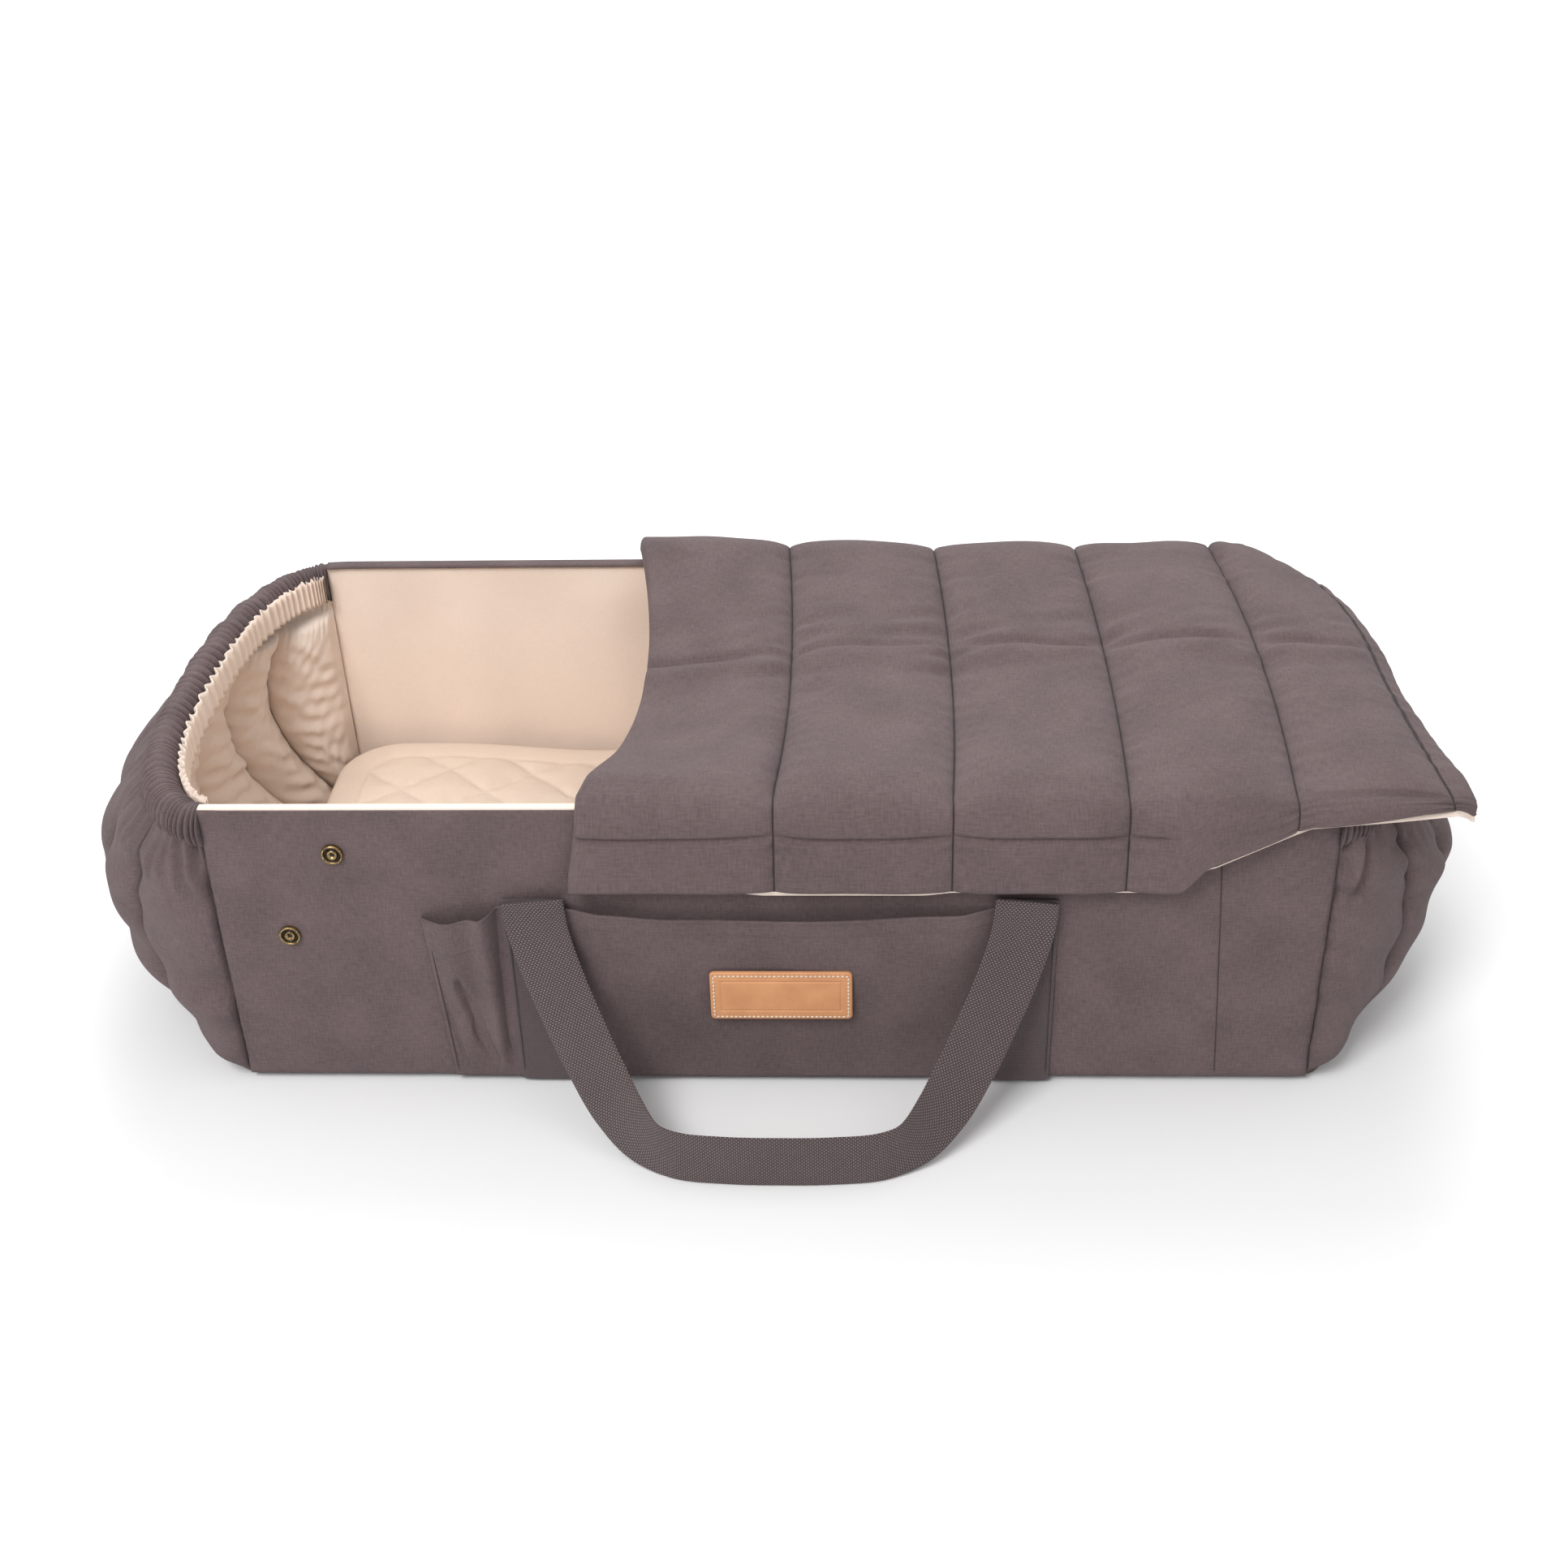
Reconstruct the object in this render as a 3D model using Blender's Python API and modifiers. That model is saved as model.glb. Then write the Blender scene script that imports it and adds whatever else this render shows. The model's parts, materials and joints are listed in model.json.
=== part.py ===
"""A soft baby carry cot: two foam side walls, two quilted and gathered ends, a mattress,
a quilted cover that folds back towards the foot, pockets, press studs and two webbing handles.

Metres, +Z up. The head end is at -X, the foot end at +X and the front at -Y.
The origin is on the floor under the middle of the cot.
"""

import math

import bmesh
import bpy

# ---- driving dimensions -------------------------------------------------------------
HALF_LENGTH = 0.330      # the straight side walls reach this far from the middle
HALF_WIDTH = 0.167       # outer face of a side wall at the rim
WALL_LEAN = 0.03         # the walls stand out this share more at the floor
RIM_Z = 0.200            # top of the walls
FABRIC = 0.0012          # one layer of cotton twill
GAP = 0.0003             # clearance between neighbouring pieces
FOAM = 0.010             # side wall foam
WEB_WIDTH = 0.037
WEB_THICK = 0.0022
STRAP_MID_X = 0.0073     # the straps, handles, wide pocket and label are centred here
STRAP_X = 0.1457         # centre of each webbing strap, either way from there
STRAP_TOP_Z = 0.140

# ends: how far each stands out beyond the side walls, at the floor, at the rim and between
END_OUT_FLOOR = 0.034
END_OUT_RIM = 0.047
END_SWELL = 0.075
END_SQUARE = 2.6         # 2 is an ellipse in plan, more is squarer
END_CHANNELS = 5
CELLS_PER_CHANNEL = 4
END_TOP_V = 0.865        # the wall stops here and the gathered rim casing takes over
END_GAP = 0.0008         # between a side wall's cut end and the end sewn to it
WADDING = 0.0095
WADDING_GAP = 0.0008     # the wadding is loose between its two fabrics
RIM_CASING_V = 0.935     # the casing's centre line, up the wall and in from its outer face
RIM_CASING_DEPTH = 0.0085

# cover
COVER_Z = 0.202          # underside of the cover where it lies on the rims
COVER_SEAMS = (-0.106, 0.005, 0.108, 0.208, 0.303, 0.385)
COVER_FOLD = 2           # the seam it folds back at, counted from the head edge
COVER_REAR_Y = 0.168
COVER_SAG = 0.010
COVER_LINING = 0.0009
COVER_SEAM_THICK = 0.0045   # wadding at the quilting seams and in the middle of a channel
COVER_THICK = 0.0090
SEAM_INSET = 0.0006
COVER_TURN_V = 0.72      # share of the way across where the cover turns down
COVER_BEND = 0.007       # inner radius where the cover turns down over the front rim
COVER_BEND_Y = -0.164
COVER_DROP = 0.009       # straight stretch below that bend
FLAP_END_X = 0.235       # the hanging flaps stop here, and the drop fades out beyond it
FLAP_FOOT_Z = 0.150
FLAP_THICK = 0.0065

# mattress
MATTRESS_X = 0.335
MATTRESS_Y = 0.1510
MATTRESS_CORNER = 0.050
BORDER = 0.024

# ---- derived levels -----------------------------------------------------------------
SHEET_BOTTOM_Z = WEB_THICK + GAP
WALL_FOOT_Z = SHEET_BOTTOM_Z + FABRIC + GAP
BOARD_TOP_Z = WALL_FOOT_Z + 0.003
CORE_TOP_Z = BOARD_TOP_Z + GAP + 0.036
QUILT_TOP_Z = CORE_TOP_Z + GAP + 0.007
BORDER_TOP_Z = CORE_TOP_Z + GAP + 0.010
LEAN_ANGLE = math.atan(HALF_WIDTH * WALL_LEAN / RIM_Z)


# ---- tools --------------------------------------------------------------------------
def clear_scene():
    for obj in list(bpy.data.objects):
        bpy.data.objects.remove(obj, do_unlink=True)


def new_collection(name):
    made = bpy.data.collections.new(name)
    bpy.context.scene.collection.children.link(made)
    return made


def new_material(name, colour, roughness, metallic=0.0):
    made = bpy.data.materials.new(name)
    made.use_nodes = True
    shader = made.node_tree.nodes["Principled BSDF"]
    shader.inputs["Base Color"].default_value = (*colour, 1.0)
    shader.inputs["Roughness"].default_value = roughness
    shader.inputs["Metallic"].default_value = metallic
    return made


def add_mesh(name, bm, material, folder):
    mesh = bpy.data.meshes.new(name)
    bm.to_mesh(mesh)
    bm.free()
    mesh.shade_smooth()
    mesh.set_sharp_from_angle(angle=math.radians(35))
    mesh.materials.append(material)
    obj = bpy.data.objects.new(name, mesh)
    folder.objects.link(obj)
    return obj


def mapped_slab(name, cells_u, cells_v, place, material, folder):
    """A closed slab of cells_u by cells_v cells. place(u, v, w) puts each corner,
    with u and v from 0 to 1 over the sheet and w from 0 to 1 through its thickness."""
    bm = bmesh.new()
    bmesh.ops.create_grid(bm, x_segments=cells_u, y_segments=cells_v, size=0.5)
    top = bmesh.ops.extrude_face_region(bm, geom=bm.faces[:])
    raised = [v for v in top["geom"] if isinstance(v, bmesh.types.BMVert)]
    bmesh.ops.translate(bm, verts=raised, vec=(0, 0, 1))
    for vert in bm.verts:
        vert.co = place(vert.co.x + 0.5, vert.co.y + 0.5, vert.co.z)
    bmesh.ops.recalc_face_normals(bm, faces=bm.faces[:])
    if bm.calc_volume(signed=True) < 0:
        bmesh.ops.reverse_faces(bm, faces=bm.faces[:])
    return add_mesh(name, bm, material, folder)


def flat_curve(name, outlines, thickness, material, folder):
    """A flat plate from closed outlines; the second and later outlines are holes."""
    data = bpy.data.curves.new(name, "CURVE")
    data.dimensions = "2D"
    data.fill_mode = "BOTH"
    data.extrude = thickness / 2
    for outline in outlines:
        spline = data.splines.new("POLY")
        spline.points.add(len(outline) - 1)
        for point, (x, y) in zip(spline.points, outline):
            point.co = (x, y, 0, 1)
        spline.use_cyclic_u = True
    data.materials.append(material)
    obj = bpy.data.objects.new(name, data)
    folder.objects.link(obj)
    return obj


def plate(name, outlines, low_z, high_z, material, folder):
    """A level plate from low_z to high_z."""
    obj = flat_curve(name, outlines, high_z - low_z, material, folder)
    obj.location.z = (low_z + high_z) / 2
    return obj


def section_along_x(name, outline, x_low, x_high, material, folder):
    """A section drawn as (y, z) points, run along X."""
    obj = flat_curve(name, [outline], x_high - x_low, material, folder)
    obj.rotation_euler = (math.pi / 2, 0, math.pi / 2)
    obj.location.x = (x_low + x_high) / 2
    return obj


def rounded_rectangle(half_x, half_y, radius, steps=5):
    """Corner arcs joined by straight sides, counter-clockwise."""
    points = []
    for quarter, (sx, sy) in enumerate(((1, 1), (-1, 1), (-1, -1), (1, -1))):
        for k in range(steps + 1):
            a = math.pi / 2 * (quarter + k / steps)
            points.append((sx * (half_x - radius) + radius * math.cos(a),
                           sy * (half_y - radius) + radius * math.sin(a)))
    return points


def mix(a, b, t):
    return a + (b - a) * t


def smooth(t):
    t = min(1.0, max(0.0, t))
    return t * t * (3 - 2 * t)


def lean(y, z):
    """The walls stand out a little more towards the floor."""
    return y * (1 + WALL_LEAN * (1 - z / RIM_Z))


# ---- the quilted ends ---------------------------------------------------------------
def end_out(v):
    """How far the end stands out at height share v: a straight lean plus a round swell."""
    lean = mix(END_OUT_FLOOR, END_OUT_RIM, v)
    return lean + END_SWELL * max(0.0, math.sin(math.pi * v)) ** 0.9


def end_plan(s, out):
    """Plan curve of an end, s from -1 at the front corner to 1 at the rear corner."""
    t = math.sin(math.pi / 2 * s)
    x = HALF_LENGTH + out * math.sqrt(max(0.0, 1 - abs(t) ** END_SQUARE))
    return x, HALF_WIDTH * t


def end_point(side, s, v, depth, lift=0.0):
    """A point on an end wall, depth metres in from its outer face, measured level.
    No point comes nearer to the side walls than their cut ends."""
    out = end_out(v)
    x, y = end_plan(s, out)
    step = 0.01
    x0, y0 = end_plan(max(-1.0, s - step), out)
    x1, y1 = end_plan(min(1.0, s + step), out)
    run = math.hypot(x1 - x0, y1 - y0)
    nx, ny = (y1 - y0) / run, -(x1 - x0) / run
    if abs(s) == 1.0:
        nx, ny = 0.0, s
    z = mix(WALL_FOOT_Z, RIM_Z, v) + lift
    x = max(x - depth * nx, HALF_LENGTH + END_GAP)
    return side * x, lean(y - depth * ny, z), z


def end_layer(name, side, depth_out, depth_in, material, folder, s_from=-1.0, s_to=1.0, cells=None):
    """One layer of an end wall, between two depths."""
    cells = cells or END_CHANNELS * CELLS_PER_CHANNEL

    def place(u, v, w):
        return end_point(side, mix(s_from, s_to, u), v * END_TOP_V, mix(depth_in, depth_out, w))

    return mapped_slab(name, cells, 7, place, material, folder)


def rim_piece(name, side, cells_around, section, material, folder):
    """A piece that follows the rim. section(v, w) gives its offset outwards and upwards."""

    def place(u, v, w):
        out, up = section(v, w)
        x, y, z = end_point(side, mix(-1.0, 1.0, u), RIM_CASING_V, RIM_CASING_DEPTH - out)
        return x, y, z + up

    return mapped_slab(name, END_CHANNELS * CELLS_PER_CHANNEL, cells_around, place, material, folder)


def casing_section(v, w):
    """A flattened tube 12 mm by 24 mm, slit at its foot where the rim is sewn to the wall."""
    angle = math.radians(mix(-100.0, -440.0, v))
    half_out, half_up = mix(0.0046, 0.0060, w), mix(0.0102, 0.0118, w)
    return half_out * math.cos(angle), half_up * math.sin(angle)


def elastic_section(v, w):
    return mix(-0.0008, 0.0008, w), mix(-0.004, 0.004, v)


def build_end(prefix, side, mats, folder):
    end_layer(f"{prefix}_end_outer", side, 0.0, FABRIC, mats["twill"], folder)
    wadding_out = FABRIC + WADDING_GAP
    wadding_in = wadding_out + WADDING
    for n in range(END_CHANNELS):
        trim = 0.012
        low = mix(-1.0, 1.0, n / END_CHANNELS) + (trim if n else 0.0)
        high = mix(-1.0, 1.0, (n + 1) / END_CHANNELS) - (trim if n < END_CHANNELS - 1 else 0.0)
        end_layer(f"{prefix}_wadding_{n + 1}", side, wadding_out, wadding_in, mats["wadding"],
                  folder, low, high, CELLS_PER_CHANNEL)
    lining_out = wadding_in + WADDING_GAP
    end_layer(f"{prefix}_end_lining", side, lining_out, lining_out + FABRIC, mats["lining"], folder)
    rim_piece(f"{prefix}_rim_casing", side, 9, casing_section, mats["twill"], folder)
    rim_piece(f"{prefix}_rim_elastic", side, 1, elastic_section, mats["elastic"], folder)


# ---- floor and mattress -------------------------------------------------------------
def floor_outline():
    """The bottom panel's outline: two end curves joined by straight sides."""
    steps = 14
    foot = [end_plan(mix(-1.0, 1.0, k / steps), END_OUT_FLOOR) for k in range(steps + 1)]
    foot = [(x, lean(y, 0.0)) for x, y in foot]
    return foot + [(-x, -y) for x, y in foot]


def build_floor(mats, folder):
    plate("bottom_panel", [floor_outline()], SHEET_BOTTOM_Z, SHEET_BOTTOM_Z + FABRIC,
          mats["twill"], folder)
    outline = rounded_rectangle(MATTRESS_X - 0.012, MATTRESS_Y, MATTRESS_CORNER)
    plate("base_board", [outline], WALL_FOOT_Z, BOARD_TOP_Z, mats["board"], folder)
    plate("mattress_core", [outline], BOARD_TOP_Z + GAP, CORE_TOP_Z, mats["foam"], folder)
    outer = rounded_rectangle(MATTRESS_X, MATTRESS_Y, MATTRESS_CORNER)
    inner = rounded_rectangle(MATTRESS_X - BORDER, MATTRESS_Y - BORDER, MATTRESS_CORNER - BORDER)
    quilt = rounded_rectangle(MATTRESS_X - BORDER - GAP, MATTRESS_Y - BORDER - GAP,
                              MATTRESS_CORNER - BORDER - GAP)
    plate("quilted_sheet", [quilt], CORE_TOP_Z + GAP, QUILT_TOP_Z, mats["lining"], folder)
    plate("sheet_border", [outer, inner], CORE_TOP_Z + GAP, BORDER_TOP_Z, mats["lining"], folder)


# ---- side walls ---------------------------------------------------------------------
def wall_sections(side):
    """Outer panel, foam and lining of a side wall, as (y, z) outlines at y = side times depth in.
    At the front the lining turns over the rim, and at the rear the outer panel does."""
    outer = HALF_WIDTH
    foam_out = outer - FABRIC - GAP
    foam_in = foam_out - FOAM
    lining_out = foam_in - GAP
    lining_in = lining_out - FABRIC
    foam_top = RIM_Z - FABRIC - GAP
    short_top = RIM_Z - FABRIC - GAP
    foam = [(foam_in, WALL_FOOT_Z), (foam_out, WALL_FOOT_Z), (foam_out, foam_top), (foam_in, foam_top)]
    if side < 0:
        panel = [(foam_out + GAP, WALL_FOOT_Z), (outer, WALL_FOOT_Z), (outer, short_top),
                 (foam_out + GAP, short_top)]
        lining = [(lining_in, WALL_FOOT_Z), (lining_out, WALL_FOOT_Z), (lining_out, RIM_Z - FABRIC),
                  (outer, RIM_Z - FABRIC), (outer, RIM_Z), (lining_in, RIM_Z)]
    else:
        panel = [(foam_out + GAP, WALL_FOOT_Z), (outer, WALL_FOOT_Z), (outer, RIM_Z),
                 (lining_in, RIM_Z), (lining_in, RIM_Z - FABRIC), (foam_out + GAP, RIM_Z - FABRIC)]
        lining = [(lining_in, WALL_FOOT_Z), (lining_out, WALL_FOOT_Z), (lining_out, short_top),
                  (lining_in, short_top)]
    return [[(side * lean(y, z), z) for y, z in outline] for outline in (panel, foam, lining)]


def build_wall(prefix, side, mats, folder):
    names = ("outer", "foam", "lining")
    kinds = ("twill", "foam", "lining")
    made = {}
    for name, kind, outline in zip(names, kinds, wall_sections(side)):
        made[name] = section_along_x(f"{prefix}_wall_{name}", outline, -HALF_LENGTH, HALF_LENGTH,
                                     mats[kind], folder)
    return made


# ---- press studs --------------------------------------------------------------------
STUD_PLACES = {"upper": (-0.254, 0.171), "lower": (-0.288, 0.113)}
STUD_RADIUS = 0.0066
POST_RADIUS = 0.0017
POST_HEAD = 0.0050


def as_mesh(obj):
    """The evaluated curve as a mesh object of the same name, with its caps welded."""
    graph = bpy.context.evaluated_depsgraph_get()
    mesh = bpy.data.meshes.new_from_object(obj.evaluated_get(graph))
    bm = bmesh.new()
    bm.from_mesh(mesh)
    bmesh.ops.remove_doubles(bm, verts=bm.verts[:], dist=1e-6)
    bm.to_mesh(mesh)
    bm.free()
    name, folder = obj.name, obj.users_collection[0]
    place = obj.matrix_world.copy()
    bpy.data.objects.remove(obj, do_unlink=True)
    made = bpy.data.objects.new(name, mesh)
    made.matrix_world = place
    folder.objects.link(made)
    return made


def round_cutter(name, x, z, y_low, y_high, radius, cutters):
    bm = bmesh.new()
    bmesh.ops.create_cone(bm, cap_ends=True, segments=16, radius1=radius, radius2=radius,
                          depth=y_high - y_low)
    mesh = bpy.data.meshes.new(name)
    bm.to_mesh(mesh)
    bm.free()
    obj = bpy.data.objects.new(name, mesh)
    obj.rotation_euler.x = math.pi / 2
    obj.location = (x, lean((y_low + y_high) / 2, z), z)
    obj.hide_render = True
    obj.display_type = "WIRE"
    cutters.objects.link(obj)
    return obj


def cut(obj, cutter):
    modifier = obj.modifiers.new("hole", "BOOLEAN")
    modifier.operation = "DIFFERENCE"
    modifier.object = cutter


def turned(name, profile, x, y, z, side, material, folder, steps=20):
    """A profile of (radius, height) points, outer side top to bottom, turned about Y and
    facing outwards on a side wall."""
    mesh = bpy.data.meshes.new(name)
    edges = [(k, k + 1) for k in range(len(profile) - 1)]
    mesh.from_pydata([(r, 0, h) for r, h in profile], edges, [])
    mesh.materials.append(material)
    obj = bpy.data.objects.new(name, mesh)
    folder.objects.link(obj)
    screw = obj.modifiers.new("turn", "SCREW")
    screw.steps = screw.render_steps = steps
    screw.use_merge_vertices = True
    screw.merge_threshold = 0.00005
    obj.rotation_euler.x = -side * (math.pi / 2 - LEAN_ANGLE)
    obj.location = (x, y, z)
    return obj


def build_studs(prefix, side, wall, mats, folder, cutters):
    """Each stud is a ring outside the panel, held by a post whose head lies behind it."""
    for obj_name in ("outer", "foam"):
        wall[obj_name] = as_mesh(wall[obj_name])
    face = HALF_WIDTH
    ring = [(0.0, 0.0026), (0.0012, 0.0026), (0.0026, 0.0024), (0.0030, 0.0010), (0.0046, 0.0010),
            (0.0052, 0.0020), (0.0060, 0.0020), (STUD_RADIUS, 0.0010), (STUD_RADIUS, 0.0003),
            (POST_RADIUS + 0.0003, 0.0003), (POST_RADIUS + 0.0003, 0.0014), (0.0, 0.0014)]
    post = [(0.0, 0.0010), (POST_RADIUS, 0.0010), (POST_RADIUS, -0.0015), (POST_HEAD, -0.0015),
            (POST_HEAD, -0.0023), (0.0, -0.0023)]
    for place, (x, z) in STUD_PLACES.items():
        y_of = lambda depth: side * (face - depth)
        y = side * lean(face, z)
        turned(f"{prefix}_stud_{place}", ring, x, y, z, side, mats["brass"], folder)
        turned(f"{prefix}_stud_post_{place}", post, x, y, z, side, mats["brass"], folder)
        hole = round_cutter(f"hole_{prefix}_{place}", x, z, *sorted((y_of(-0.002), y_of(0.004))),
                            POST_RADIUS + 0.0004, cutters)
        pit = round_cutter(f"pit_{prefix}_{place}", x, z, *sorted((y_of(0.0), y_of(0.0030))),
                           POST_HEAD + 0.0004, cutters)
        cut(wall["outer"], hole)
        cut(wall["foam"], pit)


# ---- webbing ------------------------------------------------------------------------
def build_carry_straps(mats, folder):
    """Each strap runs down the front, under the bottom panel and up the rear, sewn all along."""
    inner = HALF_WIDTH + GAP
    outer = inner + WEB_THICK
    outline = [(-outer, 0), (outer, 0), (outer, STRAP_TOP_Z), (inner, STRAP_TOP_Z),
               (inner, WEB_THICK), (-inner, WEB_THICK), (-inner, STRAP_TOP_Z), (-outer, STRAP_TOP_Z)]
    outline = [(lean(y, z), z) for y, z in outline]
    for name, x in (("head", STRAP_MID_X - STRAP_X), ("foot", STRAP_MID_X + STRAP_X)):
        section_along_x(f"carry_strap_{name}", outline, x - WEB_WIDTH / 2, x + WEB_WIDTH / 2,
                        mats["webbing"], folder)


# Route of a handle from its sewn end to the middle of its grip: x, distance out from the
# middle of the cot, height. It hugs the wall, swings out and stands on edge on the floor.
HANDLE_ROUTE = ((0.1457, 0.1745, 0.1425), (0.1430, 0.1765, 0.1180), (0.1345, 0.1865, 0.0930),
                (0.1230, 0.2000, 0.0700), (0.1100, 0.2160, 0.0490), (0.0960, 0.2330, 0.0320),
                (0.0800, 0.2490, 0.0220), (0.0600, 0.2590, 0.0192), (0.0300, 0.2625, 0.0188),
                (0.0000, 0.2632, 0.0188))


def catmull(points, t):
    """A point on a smooth curve through the points, t from 0 to 1."""
    last = len(points) - 1
    place = min(max(t, 0.0), 1.0) * last
    k = min(int(place), last - 1)
    f = place - k
    p0, p1, p2, p3 = (points[min(max(k + j, 0), last)] for j in (-1, 0, 1, 2))
    return tuple(0.5 * (2 * b + (c - a) * f + (2 * a - 5 * b + 4 * c - d) * f * f
                        + (3 * b - a - 3 * c + d) * f ** 3)
                 for a, b, c, d in zip(p0, p1, p2, p3))


def handle_frame(t):
    """Centre, width direction and face direction of the handle at t, from end to end."""
    half = [(-x, y, z) for x, y, z in HANDLE_ROUTE]
    route = half + [(x, y, z) for x, y, z in reversed(HANDLE_ROUTE[:-1])]
    centre = catmull(route, t)
    a, b = catmull(route, t - 0.01), catmull(route, t + 0.01)
    run = [q - p for p, q in zip(a, b)]
    size = math.sqrt(sum(c * c for c in run))
    run = [c / size for c in run]
    face = (0.0, 1.0, 0.0)
    width = (run[1] * face[2] - run[2] * face[1], run[2] * face[0] - run[0] * face[2],
             run[0] * face[1] - run[1] * face[0])
    size = math.sqrt(sum(c * c for c in width))
    width = [c / size for c in width]
    normal = (width[1] * run[2] - width[2] * run[1], width[2] * run[0] - width[0] * run[2],
              width[0] * run[1] - width[1] * run[0])
    return centre, width, normal


def build_handle(name, side, mats, folder):
    def place(u, v, w):
        centre, width, normal = handle_frame(u)
        across, through = (v - 0.5) * WEB_WIDTH, (w - 0.5) * WEB_THICK
        x, y, z = (c + across * a + through * n for c, a, n in zip(centre, width, normal))
        return x + STRAP_MID_X, side * y, max(z, 0.0002 + w * 0.0001)

    mapped_slab(name, 36, 2, place, mats["webbing"], folder)


# ---- pockets and label --------------------------------------------------------------
POCKET_HALF = STRAP_X - WEB_WIDTH / 2 - 0.001
POCKET_TOP_Z = 0.134
POCKET_GAPE = 0.0062
PEN_LEFT, PEN_RIGHT = -0.2045, STRAP_MID_X - STRAP_X - WEB_WIDTH / 2 - 0.001
PEN_GAPE = 0.0095
LABEL_Z = 0.0740
LABEL_LENGTH, LABEL_HEIGHT, LABEL_THICK = 0.086, 0.035, 0.0016


def pocket_stand(u, v):
    """How far the pocket stands off the wall: flat in the middle, sewn down at its sides and foot."""
    sides = min(1.0, (0.5 - abs(u - 0.5)) / 0.09)
    return POCKET_GAPE * sides * min(1.0, v / 0.2)


def build_pockets(mats, folder):
    def front(u, v, w):
        x = STRAP_MID_X + mix(-POCKET_HALF, POCKET_HALF, u)
        droop = 0.005 * math.sin(math.pi * u)
        z = mix(WALL_FOOT_Z, POCKET_TOP_Z - droop, v)
        return x, -(lean(HALF_WIDTH, z) + GAP + pocket_stand(u, v) + w * FABRIC), z

    mapped_slab("front_pocket", 22, 5, front, mats["twill"], folder)

    def pen(u, v, w):
        gusset = 0.22
        gape = PEN_GAPE * v ** 0.7
        if u < gusset:
            x, stand = PEN_LEFT + 0.001 * u, gape * u / gusset
        else:
            x, stand = mix(PEN_LEFT + 0.001, PEN_RIGHT, (u - gusset) / (1 - gusset)), gape
            stand *= 1 - 0.55 * smooth((u - 0.55) / 0.45)
        x -= FABRIC * (w if u < gusset else w * max(0.0, 1 - (u - gusset) * 8))
        z = mix(WALL_FOOT_Z, 0.131, v)
        return x, -(lean(HALF_WIDTH, z) + GAP + stand + w * FABRIC), z

    mapped_slab("pen_pocket", 18, 4, pen, mats["twill"], folder)
    stand = lean(HALF_WIDTH, LABEL_Z) + GAP + POCKET_GAPE + FABRIC + GAP
    outline = rounded_rectangle(LABEL_LENGTH / 2, LABEL_HEIGHT / 2, 0.0020, 2)
    label = flat_curve("leather_label", [outline], LABEL_THICK, mats["leather"], folder)
    label.rotation_euler.x = math.pi / 2 - LEAN_ANGLE
    label.location = (STRAP_MID_X, -(stand + LABEL_THICK / 2), LABEL_Z)


# ---- cover --------------------------------------------------------------------------
def cover_sag(x, y):
    across = max(0.0, 1 - (y / 0.150) ** 2)
    return COVER_SAG * across * (1 - smooth((x - 0.24) / 0.07))


def cover_drop(x):
    """Arc and straight drop below the front rim, fading out towards the foot corner."""
    return 1 - smooth((x - FLAP_END_X) / (COVER_SEAMS[-1] - FLAP_END_X))


def cover_frame(x, v):
    """A point on the cover's underside and the direction up through it. v runs from the rear
    hinge seam forwards over the front rim."""
    if v <= COVER_TURN_V:
        y = mix(COVER_REAR_Y, COVER_BEND_Y, v / COVER_TURN_V)
        return y, COVER_Z - cover_sag(x, y), 0.0, 1.0
    drop = cover_drop(x)
    share = (v - COVER_TURN_V) / (1 - COVER_TURN_V)
    turned_by = math.pi / 2 * min(1.0, share / 0.6) * drop
    y = COVER_BEND_Y - COVER_BEND * math.sin(turned_by)
    z = COVER_Z - COVER_BEND * (1 - math.cos(turned_by))
    ahead = COVER_DROP * max(0.0, share - 0.6) / 0.4 + 0.011 * (1 - drop) * min(1.0, share / 0.6)
    y -= ahead * math.cos(turned_by)
    z -= ahead * math.sin(turned_by)
    return y, z, -math.sin(turned_by), math.cos(turned_by)


def cover_crown(x, v):
    """Top of the wadding: it swells between the quilting seams and thins over the front rim."""
    share = 0.0
    for low, high in zip(COVER_SEAMS, COVER_SEAMS[1:]):
        if low <= x <= high:
            share = math.sin(math.pi * (x - low) / (high - low)) ** 0.8
    height = COVER_LINING + GAP + mix(COVER_SEAM_THICK, COVER_THICK, share)
    return height * (1 - 0.30 * smooth((v - COVER_TURN_V) / 0.2))


def cover_edge(x, y):
    """The head edge curves a little towards the foot in the middle, and the foot edge
    follows the round of the foot end at the rear and reaches further at the front."""
    lead = max(0.0, (COVER_SEAMS[1] - x) / (COVER_SEAMS[1] - COVER_SEAMS[0]))
    tail = max(0.0, (x - COVER_SEAMS[-2]) / (COVER_SEAMS[-1] - COVER_SEAMS[-2]))
    across = max(-1.0, min(1.0, y / COVER_REAR_Y))
    head = 0.012 * lead * (1 - across * across)
    foot = tail * (0.012 * across * across if across < 0 else -0.040 * across ** 3)
    return x + head + foot


def cover_x(share):
    """Position along the cover, where each whole step of share is one quilted channel."""
    n = min(int(share), len(COVER_SEAMS) - 2)
    return mix(COVER_SEAMS[n], COVER_SEAMS[n + 1], share - n)


def cover_sheet(name, first, last, low, high, material, folder):
    """A layer of the cover from height low to height high(x, v), between seams first and last."""

    def place(u, v, w):
        x = cover_x(mix(first, last, u))
        x = min(max(x, COVER_SEAMS[first] + SEAM_INSET), COVER_SEAMS[last] - SEAM_INSET)
        y, z, ny, nz = cover_frame(x, v)
        rise = mix(low, high(x, v), w)
        return cover_edge(x, y), y + ny * rise, z + nz * rise

    return mapped_slab(name, (last - first) * CELLS_PER_CHANNEL, 14, place, material, folder)


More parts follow.
